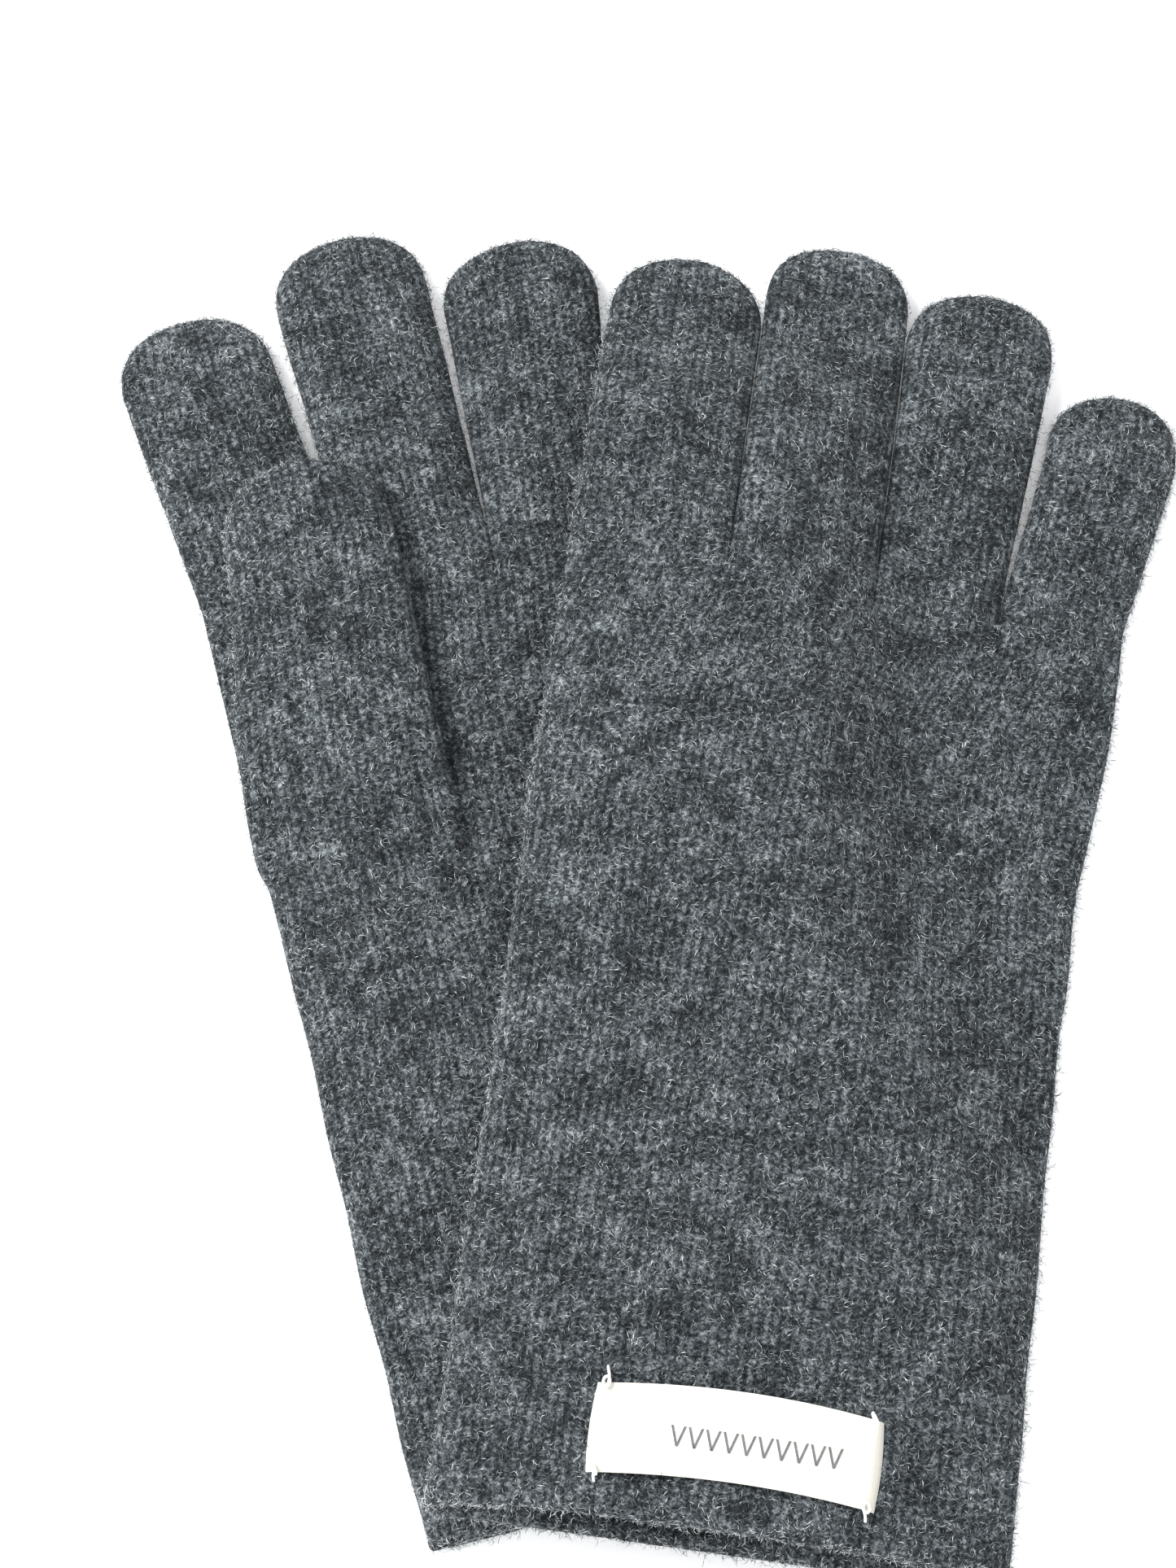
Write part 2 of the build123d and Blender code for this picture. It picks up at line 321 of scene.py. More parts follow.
def new_material(name: str) -> tuple[bpy.types.Material, bpy.types.NodeTree]:
    """Makes an empty node material.

    Args:
        name: The material's name.

    Returns:
        The material and its node tree.
    """
    material = bpy.data.materials.new(name)
    material.use_nodes = True
    material.node_tree.nodes.clear()
    return material, material.node_tree


def add_surface(
    tree: bpy.types.NodeTree, values: dict[str, object], links: dict[str, bpy.types.NodeSocket]
) -> None:
    """Ends a material with a Principled surface of those values and links."""
    shader = add_node(tree, "BsdfPrincipled", None, values, links)
    add_node(tree, "OutputMaterial", links={"Surface": shader.outputs["BSDF"]})


# Mottles of the wool: waves per metre, detail and roughness
SPECKLE = (2400, 3.0, 0.65)  # 0.45 mm, drawn about twice as coarse as the fibres' own speckle
FLECK = (900, 2.0, 0.55)  # 1.1 mm, the size of the yarn
CLUMP = (420, 2.0, 0.6)  # 2.4 mm, a few stitches
CLOUD = (130, 2.0, 0.5)  # 8 mm
WOOL_IOR = 1.54
WAVES_PER_SCALE = 3.18  # bands per metre that a wave texture draws for a scale of 1


@dataclass(frozen=True)
class FeltedKnit:
    """Milled plain knit of heathered charcoal wool.

    Dark, mid and light grey fibres are spun together and felted after knitting.
    The eye sees a dry, matt, speckled grey with soft clouds, faint upright
    columns of stitches, and a pale bloom of fibre where the surface turns away.
    """

    dark: str = "#181b1d"
    mid: str = "#3a3f42"
    light: str = "#797f82"
    pale: str = "#a7acad"
    wale: float = 1.7  # width of a column of stitches
    course: float = 1.25  # height of a row of stitches
    wander: float = 0.9  # how far a column wanders to the sides
    slant: float = 3.2  # radians of a row that half a stitch slants by
    bloom: float = 0.08  # weight of the sheen

    def material(self) -> bpy.types.Material:
        """Builds the wool's material.

        Returns:
            The material; it reads Object coordinates for the heather, and the
            knit UV map, in metres along the fabric, for the stitches.
        """
        material, tree = new_material("felted_wool_plain_knit")
        place = add_node(tree, "TexCoord").outputs["Object"]
        fabric = add_node(tree, "UVMap", {"uv_map": "knit"}).outputs["UV"]
        speckle, fleck, clump, cloud = mottles(tree, place, (SPECKLE, FLECK, CLUMP, CLOUD))
        stitch = self.stitch_height(tree, fabric)
        tone = weighted_sum(
            tree, ((speckle, 1.0), (fleck, 0.8), (clump, 0.35), (cloud, 0.4), (stitch, 0.2)), -0.92
        )
        stops = {0.25: self.dark, 0.47: self.mid, 0.7: self.light, 0.92: self.pale}
        colour = add_node(tree, "ValToRGB", links={"Fac": tone}, stops=stops).outputs["Color"]
        height = weighted_sum(tree, ((speckle, 0.6), (fleck, 0.7), (stitch, 0.45)), 0.0)
        bump = add_node(tree, "Bump", None, {"Strength": 0.9, "Distance": 0.6 * MM}, {"Height": height})
        values = {
            "Roughness": 0.97,
            "Specular IOR Level": 0.12,
            "IOR": WOOL_IOR,
            "Sheen Weight": self.bloom,
            "Sheen Roughness": 0.55,
            "Sheen Tint": linear("#c9cbcd"),
        }
        add_surface(tree, values, {"Base Color": colour, "Normal": bump.outputs["Normal"]})
        return material

    def stitch_height(self, tree: bpy.types.NodeTree, fabric: bpy.types.NodeSocket) -> bpy.types.NodeSocket:
        """Height of plain knit: columns of V-shaped stitches, softened by felting.

        Across a column the height is |sin|, and each half of a V slants, so
        the rows are a sine of v shifted by how far a place is from its
        column's middle.

        Args:
            tree: The material's node tree.
            fabric: The knit UV socket.

        Returns:
            The height's socket, from 0 to 1.
        """
        parts = add_node(tree, "SeparateXYZ", links={"Vector": fabric})
        across, along = parts.outputs["X"], parts.outputs["Y"]
        (wobble,) = mottles(tree, fabric, ((400, 2.0, 0.5),))  # stitches wander by tenths of a millimetre
        column_rate, row_rate = math.pi / (self.wale * MM), 2 * math.pi / (self.course * MM)
        column = weighted_sum(tree, ((across, column_rate), (wobble, self.wander * MM * column_rate)), 0.0)
        ridge = add_node(tree, "Math", {"operation": "SINE"}, links={0: column}).outputs[0]
        ridge = add_node(tree, "Math", {"operation": "ABSOLUTE"}, links={0: ridge}).outputs[0]
        slanted = weighted_sum(tree, ((along, row_rate), (ridge, self.slant)), 0.0)
        loop = add_node(tree, "Math", {"operation": "SINE"}, links={0: slanted}).outputs[0]
        return weighted_sum(tree, ((loop, 0.22), (ridge, 0.7)), 0.1)


@dataclass(frozen=True)
class WoolFibre:
    """Single wool fibres that stand out of the felt: dark, mid and pale ones, dry and faintly glossy."""

    dark: str = "#1a1d1f"
    mid: str = "#44494c"
    light: str = "#7c8285"
    pale: str = "#dce0e0"

    def material(self) -> bpy.types.Material:
        """Builds the fibres' material: each has its own tone, and neighbours share a clump's.

        Returns:
            The material; it reads Object coordinates and the tone UV map.
        """
        material, tree = new_material("wool_fibre")
        place = add_node(tree, "TexCoord").outputs["Object"]
        tones = add_node(tree, "UVMap", {"uv_map": "tone"}).outputs["UV"]
        own = add_node(tree, "SeparateXYZ", links={"Vector": tones}).outputs["X"]
        clump, cloud = mottles(tree, place, (CLUMP, CLOUD))
        tone = weighted_sum(tree, ((own, 0.9), (clump, 0.38), (cloud, 0.34)), -0.4)
        stops = {0.12: self.dark, 0.47: self.mid, 0.74: self.light, 1.0: self.pale}
        colour = add_node(tree, "ValToRGB", links={"Fac": tone}, stops=stops).outputs["Color"]
        values = {"Roughness": 0.75, "Specular IOR Level": 0.25, "IOR": WOOL_IOR}
        add_surface(tree, values, {"Base Color": colour})
        return material


@dataclass(frozen=True)
class WovenTape:
    """Ivory polyester satin tape: smooth, faintly ribbed across, with a soft gloss."""

    ground: str = "#dbd8ce"
    shade: str = "#cfcbbf"
    thread: float = 0.42  # drawn twice as coarse as the real 0.2 mm threads

    def material(self) -> bpy.types.Material:
        """Builds the tape's material from two crossed waves of threads.

        Returns:
            The material; it reads the knit UV map.
        """
        material, tree = new_material("ivory_satin_tape")
        fabric = add_node(tree, "UVMap", {"uv_map": "knit"}).outputs["UV"]
        wave_scale = 1 / (self.thread * MM) / WAVES_PER_SCALE
        waving = {"Scale": wave_scale, "Distortion": 0.4, "Detail": 1.0}
        warp, weft = (
            add_node(tree, "TexWave", {"bands_direction": way}, waving, {"Vector": fabric}).outputs["Fac"]
            for way in ("X", "Y")
        )
        weave = add_node(tree, "Math", {"operation": "MULTIPLY"}, links={0: warp, 1: weft}).outputs[0]
        stops = {0.0: self.shade, 0.6: self.ground}
        colour = add_node(tree, "ValToRGB", links={"Fac": weave}, stops=stops).outputs["Color"]
        bump = add_node(tree, "Bump", None, {"Strength": 0.35, "Distance": 0.08 * MM}, {"Height": weave})
        values = {"Roughness": 0.55, "Specular IOR Level": 0.35, "IOR": 1.5, "Sheen Weight": 0.1}
        add_surface(tree, values, {"Base Color": colour, "Normal": bump.outputs["Normal"]})
        return material


@dataclass(frozen=True)
class PlainFinish:
    """A dull finish with a faint mottle: printing ink, sewing thread or the floor, whose glow is painted
    light.
    """

    name: str
    low: str
    high: str
    grain: float  # size of the mottle in millimetres
    roughness: float
    relief: float = 0.0  # depth of the mottle in millimetres
    glow: float = 0.0  # strength of the light that it gives off, a painted glow

    def material(self) -> bpy.types.Material:
        """Builds the material from one mottle between two close colours.

        Returns:
            The material; it reads Object coordinates.
        """
        material, tree = new_material(self.name)
        place = add_node(tree, "TexCoord").outputs["Object"]
        (mottle,) = mottles(tree, place, ((1 / (self.grain * MM), 3.0, 0.5),))
        stops = {0.3: self.low, 0.7: self.high}
        links = {"Base Color": add_node(tree, "ValToRGB", links={"Fac": mottle}, stops=stops).outputs["Color"]}
        if self.relief:
            relief = {"Strength": 0.5, "Distance": self.relief * MM}
            links["Normal"] = add_node(tree, "Bump", None, relief, {"Height": mottle}).outputs["Normal"]
        values = {
            "Roughness": self.roughness,
            "Specular IOR Level": 0.25,
            "IOR": 1.5,
            "Emission Color": linear("#ffffff"),
            "Emission Strength": self.glow,
        }
        add_surface(tree, values, links)
        return material


PRINTING_INK = PlainFinish("grey_printing_ink", "#5d5f61", "#707274", 0.6, 0.8)
SEWING_THREAD = PlainFinish("white_sewing_thread", "#e6e6e2", "#f6f6f3", 0.4, 0.6, 0.1)
# painted light: the floor glows evenly, which lifts the shadows on it and lights the gloves a little from
# below
FLOOR = PlainFinish("backlit_white_acrylic", "#f6f6f6", "#fafafa", 9.0, 0.95, 0.3, 0.22)


# ---------------------------------------------------------------- the gloves


class Lying(Enum):
    """Which way up a glove lies."""

    PALM_UP = "palm up"
    PALM_DOWN = "palm down"


@dataclass(frozen=True)
class Finger:
    """A finger's side edges at the knuckles and at its tip, and how far it reaches."""

    name: str
    base: tuple[float, float]
    top: tuple[float, float]
    tip: float


@dataclass(frozen=True)
class Lay:
    """Where a glove lies: the middle of its mouth, and its directions across and along."""

    mouth: Array
    across: Array
    along: Array

    @classmethod
    def from_hinge(cls, joint_name: str, u: float, v: float) -> "Lay":
        """Finds a glove's own frame from one of its finger hinges.

        Args:
            joint_name: The hinge, whose axis runs across the glove.
            u: Where the hinge is across the glove.
            v: Where it is along the glove.

        Returns:
            The glove's place in the row frame, in millimetres.
        """
        joint = next(j for j in frame["joints"] if j["name"] == joint_name)
        across = np.array(joint["axis"][:2], float)
        across /= np.linalg.norm(across)
        along = np.array([-across[1], across[0]])
        hinge = np.array(joint["pos_m"][:2], float) / MM
        return cls(hinge - u * across - v * along, across, along)

    def to_row(self, u: Array, v: Array, z: Array) -> Array:
        """Points in the row frame: mouth + u * across + v * along, at height z."""
        u, v, z = np.broadcast_arrays(u, v, z)
        x = self.mouth[0] + u * self.across[0] + v * self.along[0]
        y = self.mouth[1] + u * self.across[1] + v * self.along[1]
        return np.stack([x, y, z], axis=-1)

    def to_glove(self, x: Array, y: Array) -> tuple[Array, Array]:
        """The u and v of places in the row frame."""
        dx, dy = x - self.mouth[0], y - self.mouth[1]
        return dx * self.across[0] + dy * self.across[1], dx * self.along[0] + dy * self.along[1]


FLOOR_GAP = 0.1  # millimetres under the lower glove
DRAPED_GAP = 0.25  # under the upper glove where it hangs down to the floor
LAYER_GAP = 0.3  # between the gloves


@dataclass
class Glove:
    """One glove: its sizes, how it lies, and the pieces that are built of it."""

    name: str
    lying: Lying
    fingers: tuple[Finger, ...]
    below: "Glove | None" = None

    index_side: float = -50.3
    little_side: float = 47.5
    flare: float = 4.0  # what the little-finger side gains towards the knuckles
    flare_start: float = 110.0
    flare_run: float = 60.0
    edge_wander: float = 0.35
    knuckles: float = 174.2
    gather_start: float = 138.0  # where the columns start to gather at the grooves
    groove_start: float = 160.0
    groove_run: float = 26.0
    hand_height: float = 7.4
    knuckle_height: float = 6.1
    thinner_from: float = 125.0
    finger_height: float = 5.7
    fold: float = 2.5  # height of the folded side edges
    wall: float = 1.7
    upper_power: float = 2.5  # how square the upper layers' sections are
    hand_low_power: float = 9.0  # the same for the lower layers
    finger_low_power: float = 5.0
    lumps: tuple[tuple[float, float], ...] = ((0.32, 24.0), (0.16, 9.0))  # heights and lengths
    ripples: tuple[float, float] = (0.1, 3.4)

    mouth_depth: float = 62.0
    mouth_bulge: float = 0.0
    mouth_bulge_run: float = 60.0
    mouth_slant: float = 0.0
    mouth_slant_run: float = 45.0
    roll_height: float = 0.45
    roll_place: float = 3.2
    roll_reach: float = 2.2
    rim_rows: int = 9
    inner_step: float = 2.2

    tip_length: float = 13.0
    tip_rows: int = 22
    blunt: float = 0.82  # below 1, a tip is fuller than an ellipse

    thumb_height: float = 5.3
    palm_up_extra: float = 1.1
    thumb_start: float = 100.0
    thumb_root: float = 120.0
    thumb_tip: float = 195.4
    thumb_tip_length: float = 15.0
    thumb_left: tuple[float, float, float] = (-48.0, -51.4, -43.2)  # at its start, root and tip
    thumb_right: tuple[float, float, float] = (-23.0, -14.2, -12.5)
    thumb_middle: float = -32.0
    thumb_columns: int = 40

    over_hand: float = 8.0  # height of the glove below, at its hand and at its fingers
    over_fingers: float = 6.0
    step_start: float = 150.0
    step_run: float = 30.0
    slope: float = 30.0  # run from the glove below down to the floor
    hump_height: float = 6.3  # what the hidden thumb lifts its hand by
    hump_start: float = 89.0
    hump_slope: float = 26.0
    hump_margin: float = 4.0

    finger_columns: int = 32
    row_step: float = 1.0
    seed: int = 1
    lay: Lay = field(init=False)

    def __post_init__(self) -> None:
        """Finds the glove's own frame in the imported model."""
        index = self.fingers[0]
        hinge_u = (index.base[0] + index.base[1]) / 2
        self.lay = Lay.from_hinge(f"{self.name}_index_curl", hinge_u, self.knuckles)

    # -- how it lies

    def side_edges(self, v: Array) -> tuple[Array, Array]:
        """The side edges of the cuff and hand, with the slight wander of soft cloth.

        Args:
            v: Places along the glove.

        Returns:
            u at the index side and at the little-finger side.
        """
        flare = self.flare * smooth((v - self.flare_start) / self.flare_run)
        wander = self.edge_wander * waves(v, v * 0, 31.0, self.seed + 70)
        other = self.edge_wander * waves(v, v * 0, 27.0, self.seed + 71)
        return self.index_side + wander, self.little_side + flare + other

    def height(self, v: Array) -> Array:
        """The height of the cuff and hand, between their side folds.

        Args:
            v: Places along the glove.

        Returns:
            Heights above the underside.
        """
        thinner = smooth((v - self.thinner_from) / (self.knuckles - self.thinner_from))
        bulge = self.mouth_bulge * (1 - smooth(v / self.mouth_bulge_run))
        return mix(self.hand_height, self.knuckle_height, thinner) + bulge

    def upper(self, u: Array, v: Array) -> Array:
        """How far the upper layer of the cuff and hand is above the underside.

        Args:
            u: Places across the glove.
            v: Places along it.

        Returns:
            Heights of the upper layer.
        """
        left, right = self.side_edges(v)
        side = np.clip((2 * u - left - right) / (right - left), -1, 1)
        return self.fold + (self.height(v) - self.fold) * crown(side, self.upper_power)

    def support(self, u: Array, v: Array) -> Array:
        """How high the floor, or the glove below, holds this glove.

        Args:
            u: Places across the glove.
            v: Places along it.

        Returns:
            Heights above the floor.
        """
        if self.below is None:
            return np.zeros(np.broadcast(u, v).shape) + FLOOR_GAP
        row = self.lay.to_row(u, v, 0.0)
        u_below, v_below = self.below.lay.to_glove(row[..., 0], row[..., 1])
        ahead = smooth((v_below - self.step_start) / self.step_run)
        top = mix(self.over_hand, self.over_fingers, ahead) + LAYER_GAP
        splay = smooth((v_below - self.step_start) / 50)
        edge = mix(self.below.side_edges(v_below)[1], self.below.fingers[-1].top[1], splay)
        past = (u_below - edge + 5) / self.slope
        # before the lower glove's mouth, the upper one sags by up to 45% on its little-finger side
        sag = 1 - 0.45 * smooth(-v_below / 45) * smooth((u_below - 10) / 30)
        return mix(top * sag, DRAPED_GAP, smooth(past))

    def over_thumb(self, u: Array, v: Array) -> Array:
        """How much of the hidden thumb's height lifts the glove.

        Args:
            u: Places across the glove.
            v: Places along it.

        Returns:
            Shares from 0 to 1.
        """
        sideways = 1 - smooth((u - self.thumb_right[2] - self.hump_margin) / self.hump_slope)
        start = smooth((v - self.hump_start) / self.hump_slope + 0.25)
        end = 1 - smooth((v - self.thumb_tip - self.hump_margin) / self.hump_slope)
        return sideways * start * end

    def underside(self, u: Array, v: Array) -> Array:
        """Height of the underside of the cuff, hand and fingers.

        Args:
            u: Places across the glove.
            v: Places along it.

        Returns:
            Heights above the floor.
        """
        held = self.support(u, v)
        if self.lying is Lying.PALM_UP:
            return held
        return held + self.hump_height * self.over_thumb(u, v)

    def relief(self, u: Array, v: Array) -> Array:
        """Soft lumps and creases of the cloth: random waves of three lengths.

        Args:
            u: Places across the glove.
            v: Places along it.

        Returns:
            Heights to add, in millimetres.
        """
        lumps = sum(
            height * waves(u, v, length, self.seed + number)
            for number, (height, length) in enumerate(self.lumps)
        )
        height, length = self.ripples
        return lumps + height * waves(u * 0.5, v, length, self.seed + 2, 14)

    def within(self, u: Array, width: float, power: float) -> Array:
        """1 in the middle of the glove, and 0 at the edges of a band of that width about it."""
        return crown((2 * u - self.index_side - self.little_side) / width, power)

    def creases(self, points: Array) -> Array:
        """How deep in a crease between fingers, or beside the folded thumb, points lie.

        Across a crease the depth is exp(-(distance / reach) squared), and a
        crease fades where its fingers part. The cuff's rim stands out instead.

        Args:
            points: Places in the row frame, in millimetres.

        Returns:
            Depths from 1 in a crease to -0.45 on the rim; the nap draws painted shade in a crease and a
            painted highlight on the rim from them.
        """
        u, v = self.lay.to_glove(points[..., 0], points[..., 1])
        way = np.clip((v - self.knuckles) / 45, 0, 1)
        depth = np.zeros_like(u)
        for one, other in zip(self.fingers, self.fingers[1:]):
            right = mix(one.base[1], one.top[1], way)
            left = mix(other.base[0], other.top[0], way)
            across = np.exp(-(((u - (left + right) / 2) / 2.0) ** 2))
            closed = 1 - smooth((left - right - 0.6) / 2)
            depth = np.maximum(depth, across * closed * smooth((v - 166) / 20))
        if self.lying is Lying.PALM_UP:
            edge = mix(*self.thumb_right[1:], self.thumb_way(v))
            along = smooth((v - 112) / 25) * (1 - smooth((v - 186) / 8))
            depth = np.maximum(depth, np.exp(-(((u - edge) / 1.8) ** 2)) * along)
        return depth - 0.45 * np.exp(-(((v - 0.8) / 2.2) ** 2))

    # -- the hand and cuff

    def column_shares(self) -> Array:
        """Places of the columns of the upper layer, from -1 to 1, closer near the side folds."""
        t = np.linspace(0, 1, 4 * self.finger_columns + 1)
        return mix(-np.cos(math.pi * t), 2 * t - 1, 0.55)

    def knuckle_columns(self) -> Array:
        """The hand's columns at the knuckles, closer at each groove between fingers.

        Returns:
            One u for each column.
        """
        t = np.linspace(0, 1, self.finger_columns + 1)[:-1]
        shares = -np.cos(math.pi * t)
        parts = [mix(*self.finger_base(f), (shares + 1) / 2) for f in self.fingers]
        return np.concatenate([*parts, [self.finger_base(self.fingers[-1])[1]]])

    def groove(self, v: Array) -> Array:
        """How far the grooves between the fingers are cut at v, from 0 on the hand to 1."""
        return smooth((v - self.groove_start) / self.groove_run)

    def thumb_way(self, v: Array) -> Array:
        """How far along the thumb v is, from 0 at its root to 1 near its tip."""
        return smooth((v - self.thumb_root) / (self.thumb_tip - 8 - self.thumb_root))

    def finger_base(self, finger: Finger) -> tuple[float, float]:
        """A finger's side edges at the knuckles, which it shares with its neighbours.

        Args:
            finger: One of the fingers.

        Returns:
            u of its left and its right edge.
        """
        place = self.fingers.index(finger)
        left, right = finger.base
        if place > 0:
            left = (left + self.fingers[place - 1].base[1]) / 2
        if place < len(self.fingers) - 1:
            right = (right + self.fingers[place + 1].base[0]) / 2
        return left, right

    def hand_layers(self, v: Array, inset: Array) -> tuple[Array, Array, Array]:
        """u and the heights of both layers of the cuff and hand.

        Args:
            v: One value for each row.
            inset: How far inside the cloth each row lies, for the inner surface.

        Returns:
            u, the upper layer's w and the lower layer's w, rows by columns.
        """
        v, inset = v[:, None], inset[:, None]
        left, right = self.side_edges(v)
        side = self.column_shares()[None, :]
        u = (left + right) / 2 + ((right - left) / 2 - inset) * side
        near = smooth((v - self.gather_start) / (self.knuckles - self.gather_start))
        at_knuckles = self.knuckle_columns()[None, :]
        outside = inset < 0.01
        u = mix(u, at_knuckles, near**1.5 * outside)
        true_side = np.clip((2 * u - left - right) / (right - left - 2 * inset), -1, 1)
        high = self.height(v) - inset - self.fold
        wide = self.fold + high * crown(true_side, self.upper_power)
        t = (np.arange(u.shape[1]) % self.finger_columns) / self.finger_columns
        finger_side = -np.cos(math.pi * t)[None, :]
        split = self.fold + (self.finger_height - self.fold) * crown(finger_side, self.upper_power)
        groove = self.groove(v) * outside
        upper = mix(wide, split, groove)
        wide_low = self.fold - (self.fold - inset) * crown(true_side, self.hand_low_power)
        split_low = self.fold - self.fold * crown(finger_side, self.finger_low_power)
        lower = mix(wide_low, split_low, groove)
        return u, upper, lower

    def hand_grid(self) -> tuple[Array, Array]:
        """The closed tube of cuff and hand, from inside the mouth, round its rim, to the knuckles.

        The rim is a half circle of the cloth's thickness: inset = wall / 2 *
        (1 - cos a) and v = wall / 2 * (1 - sin a), for a from 180 degrees to 0.
        Just behind it the cloth swells into a soft roll.

        Returns:
            Points in the row frame, and places in the fabric in metres.
        """
        inner_v = np.arange(self.mouth_depth, self.wall, -self.inner_step)
        angle = np.linspace(math.pi, 0, self.rim_rows)
        rim_v = 0.75 * self.wall * (1 - np.sin(angle))
        outer_v = np.linspace(self.wall * 0.75, self.knuckles, int(self.knuckles / self.row_step))[1:]
        v = np.concatenate([inner_v, rim_v, outer_v])
        inset = np.concatenate(
            [np.full(len(inner_v), self.wall), self.wall / 2 * (1 - np.cos(angle)), np.zeros(len(outer_v))]
        )
        u, upper, lower = self.hand_layers(v, inset)
        outside = (1 - inset / self.wall)[:, None]
        rows = v[:, None] + np.zeros_like(u)
        relief = self.relief(u, rows) * self.within(u, 104, 4.0)
        roll = self.roll_height * np.exp(-(((rows - self.roll_place) / self.roll_reach) ** 2))
        pulled = self.mouth_slant * np.clip(1 - rows / self.mouth_slant_run, 0, 1) ** 2
        base = self.underside(u, rows)
        high = base + upper + (relief + roll) * (2 * outside - 1)
        low = base + lower + 0.12 * relief * outside
        upper_v = rows + pulled * self.within(u, 99, 3.0)
        top = self.lay.to_row(u, upper_v, high)
        bottom = self.lay.to_row(u, rows, low)
        grid = looped(top, bottom)
        return grid, self.fabric_places(grid, rows[:, :1])

    @staticmethod
    def fabric_places(grid: Array, v: Array) -> Array:
        """Places in the fabric: the way round each section from its middle, and v, in metres.

        Args:
            grid: Points of wrapped loops.
            v: The v of each loop.

        Returns:
            Places, rows by columns by 2.
        """
        step = np.linalg.norm(np.diff(grid, axis=1, append=grid[:, :1]), axis=-1)
        way = np.concatenate([np.zeros((len(grid), 1)), np.cumsum(step, axis=1)[:, :-1]], axis=1)
        middle = way[:, grid.shape[1] // 4, None]
        return np.stack([way - middle, v + np.zeros_like(way)], axis=-1) * MM

    # -- fingers and thumb

    def tube_stations(self, start: float, tip: float, tip_length: float) -> tuple[Array, Array]:
        """v and the share of the full width along a tube with a rounded tip.

        The tip is a quarter of a superellipse: v = shoulder + length * (sin a) ** blunt
        and the share is (cos a) ** blunt, for a from 0 to 90 degrees.

        Args:
            start: Where the tube starts.
            tip: Where its tip ends.
            tip_length: How long the rounded tip is.

        Returns:
            v, and the share of the full width, for each row.
        """
        shoulder = tip - tip_length
        body = np.linspace(start, shoulder, max(int((shoulder - start) / self.row_step), 2))
        angle = np.linspace(0, math.pi / 2, self.tip_rows)[1:]
        v = np.concatenate([body, shoulder + tip_length * np.sin(angle) ** self.blunt])
        share = np.concatenate([np.ones(len(body)), np.maximum(np.cos(angle), 0.02) ** self.blunt])
        return v, share

    def finger_grid(self, finger: Finger) -> tuple[Array, Array]:
        """The tube of one finger, from the loop that it shares with the hand to its tip.

        Args:
            finger: One of the fingers.

        Returns:
            Points in the row frame, and places in the fabric in metres.
        """
        v, share = self.tube_stations(self.knuckles, finger.tip, self.tip_length)
        v, share = v[:, None], share[:, None]
        shoulder = finger.tip - self.tip_length
        way = np.clip((v - self.knuckles) / (shoulder - self.knuckles), 0, 1)
        base = self.finger_base(finger)
        left, right = (mix(b, t, way) for b, t in zip(base, finger.top))
        t = np.linspace(0, 1, self.finger_columns + 1)[None, :]
        side = -np.cos(math.pi * t)
        wander = 0.12 * waves(v, v * 0, 22.0, self.seed + 80 + int(finger.tip)) * smooth(way * 4)
        half = (right - left) / 2 * share
        u = (left + right) / 2 + wander + half * side
        thin = mix(0.45, 1.0, share**0.7)
        fold = self.fold * mix(0.75, 1.0, share)
        edge_left, edge_right = self.side_edges(v)
        on_hand = np.clip((2 * u - edge_left - edge_right) / (edge_right - edge_left), -1, 1)
        wide = self.fold + (self.height(v) - self.fold) * crown(on_hand, self.upper_power)
        wide_low = self.fold - self.fold * crown(on_hand, self.hand_low_power)
        groove = self.groove(v)
        upper = mix(wide, fold + (self.finger_height * thin - fold) * crown(side, self.upper_power), groove)
        split_low = fold - fold * crown(side, self.finger_low_power) * mix(0.35, 1.0, share)
        lower = mix(wide_low, split_low, groove)
        rows = v + np.zeros_like(u)
        relief = self.relief(u, rows) * self.within(u, 124, 4.0)
        base_w = self.underside(u, np.minimum(rows, finger.tip))
        top = self.lay.to_row(u, rows, base_w + upper + relief * mix(0.3, 1.0, share))
        bottom = self.lay.to_row(u, rows, base_w + lower + 0.12 * relief)
        grid = looped(top, bottom)
        places = self.fabric_places(grid, rows[:, :1])
        places[..., 0] += (base[0] + base[1]) / 2 * MM
        return grid, places

    def thumb_grid(self) -> tuple[Array, Array]:
        """The tube of the thumb, from where it leaves the palm to its tip.

        Its start is thin and lies in the palm's cloth; it swells to its full
        height at the root. On the glove that lies palm down it hangs below.

        Returns:
            Points in the row frame, and places in the fabric in metres.
        """
        v, share = self.tube_stations(self.thumb_start, self.thumb_tip, self.thumb_tip_length)
        v, share = v[:, None], share[:, None]
        shown = self.lying is Lying.PALM_UP
        rise = smooth((v - self.thumb_start) / (48 if shown else 24))
        way = self.thumb_way(v)
        left = mix(mix(*self.thumb_left[:2], smooth((v - 112) / 12)), self.thumb_left[2], way**1.3)
        right = mix(mix(*self.thumb_right[:2], smooth((v - self.thumb_start) / 20)), self.thumb_right[2], way)
        t = np.linspace(0, 1, self.thumb_columns + 1)[None, :]
        side = -np.cos(math.pi * t)
        u = (left + right) / 2 + (right - left) / 2 * share * side
        full = self.thumb_height + (self.palm_up_extra if shown else 0.0)
        thick = full * mix(0.2, 1.0, rise) * mix(0.8, 1.0, share**0.6)
        fold = thick * 0.45
        upper = fold + (thick - fold) * crown(side, 3.0)
        lower = fold - fold * crown(side, 4.0)
        rows = v + np.zeros_like(u)
        relief = 0.8 * self.relief(u + 200, rows) * crown(side, 2.0) * rise
        if shown:
            palm = self.upper(u, rows)
            drop = np.minimum(self.height(rows) - palm, 2.4) * (1 - smooth((rows - 150) / 25))
            settled = mix(-1.7, 0.2, smooth((rows - self.thumb_start - 8) / 30))
            base = self.support(u, rows) + self.height(rows) - drop + settled
        else:
            hidden = self.support(u, rows) + 0.35
            under = self.underside(u, rows) - thick + 0.9
            base = mix(under, hidden, smooth((rows - self.thumb_start - 4) / 20))
        top = self.lay.to_row(u, rows, base + upper + relief)
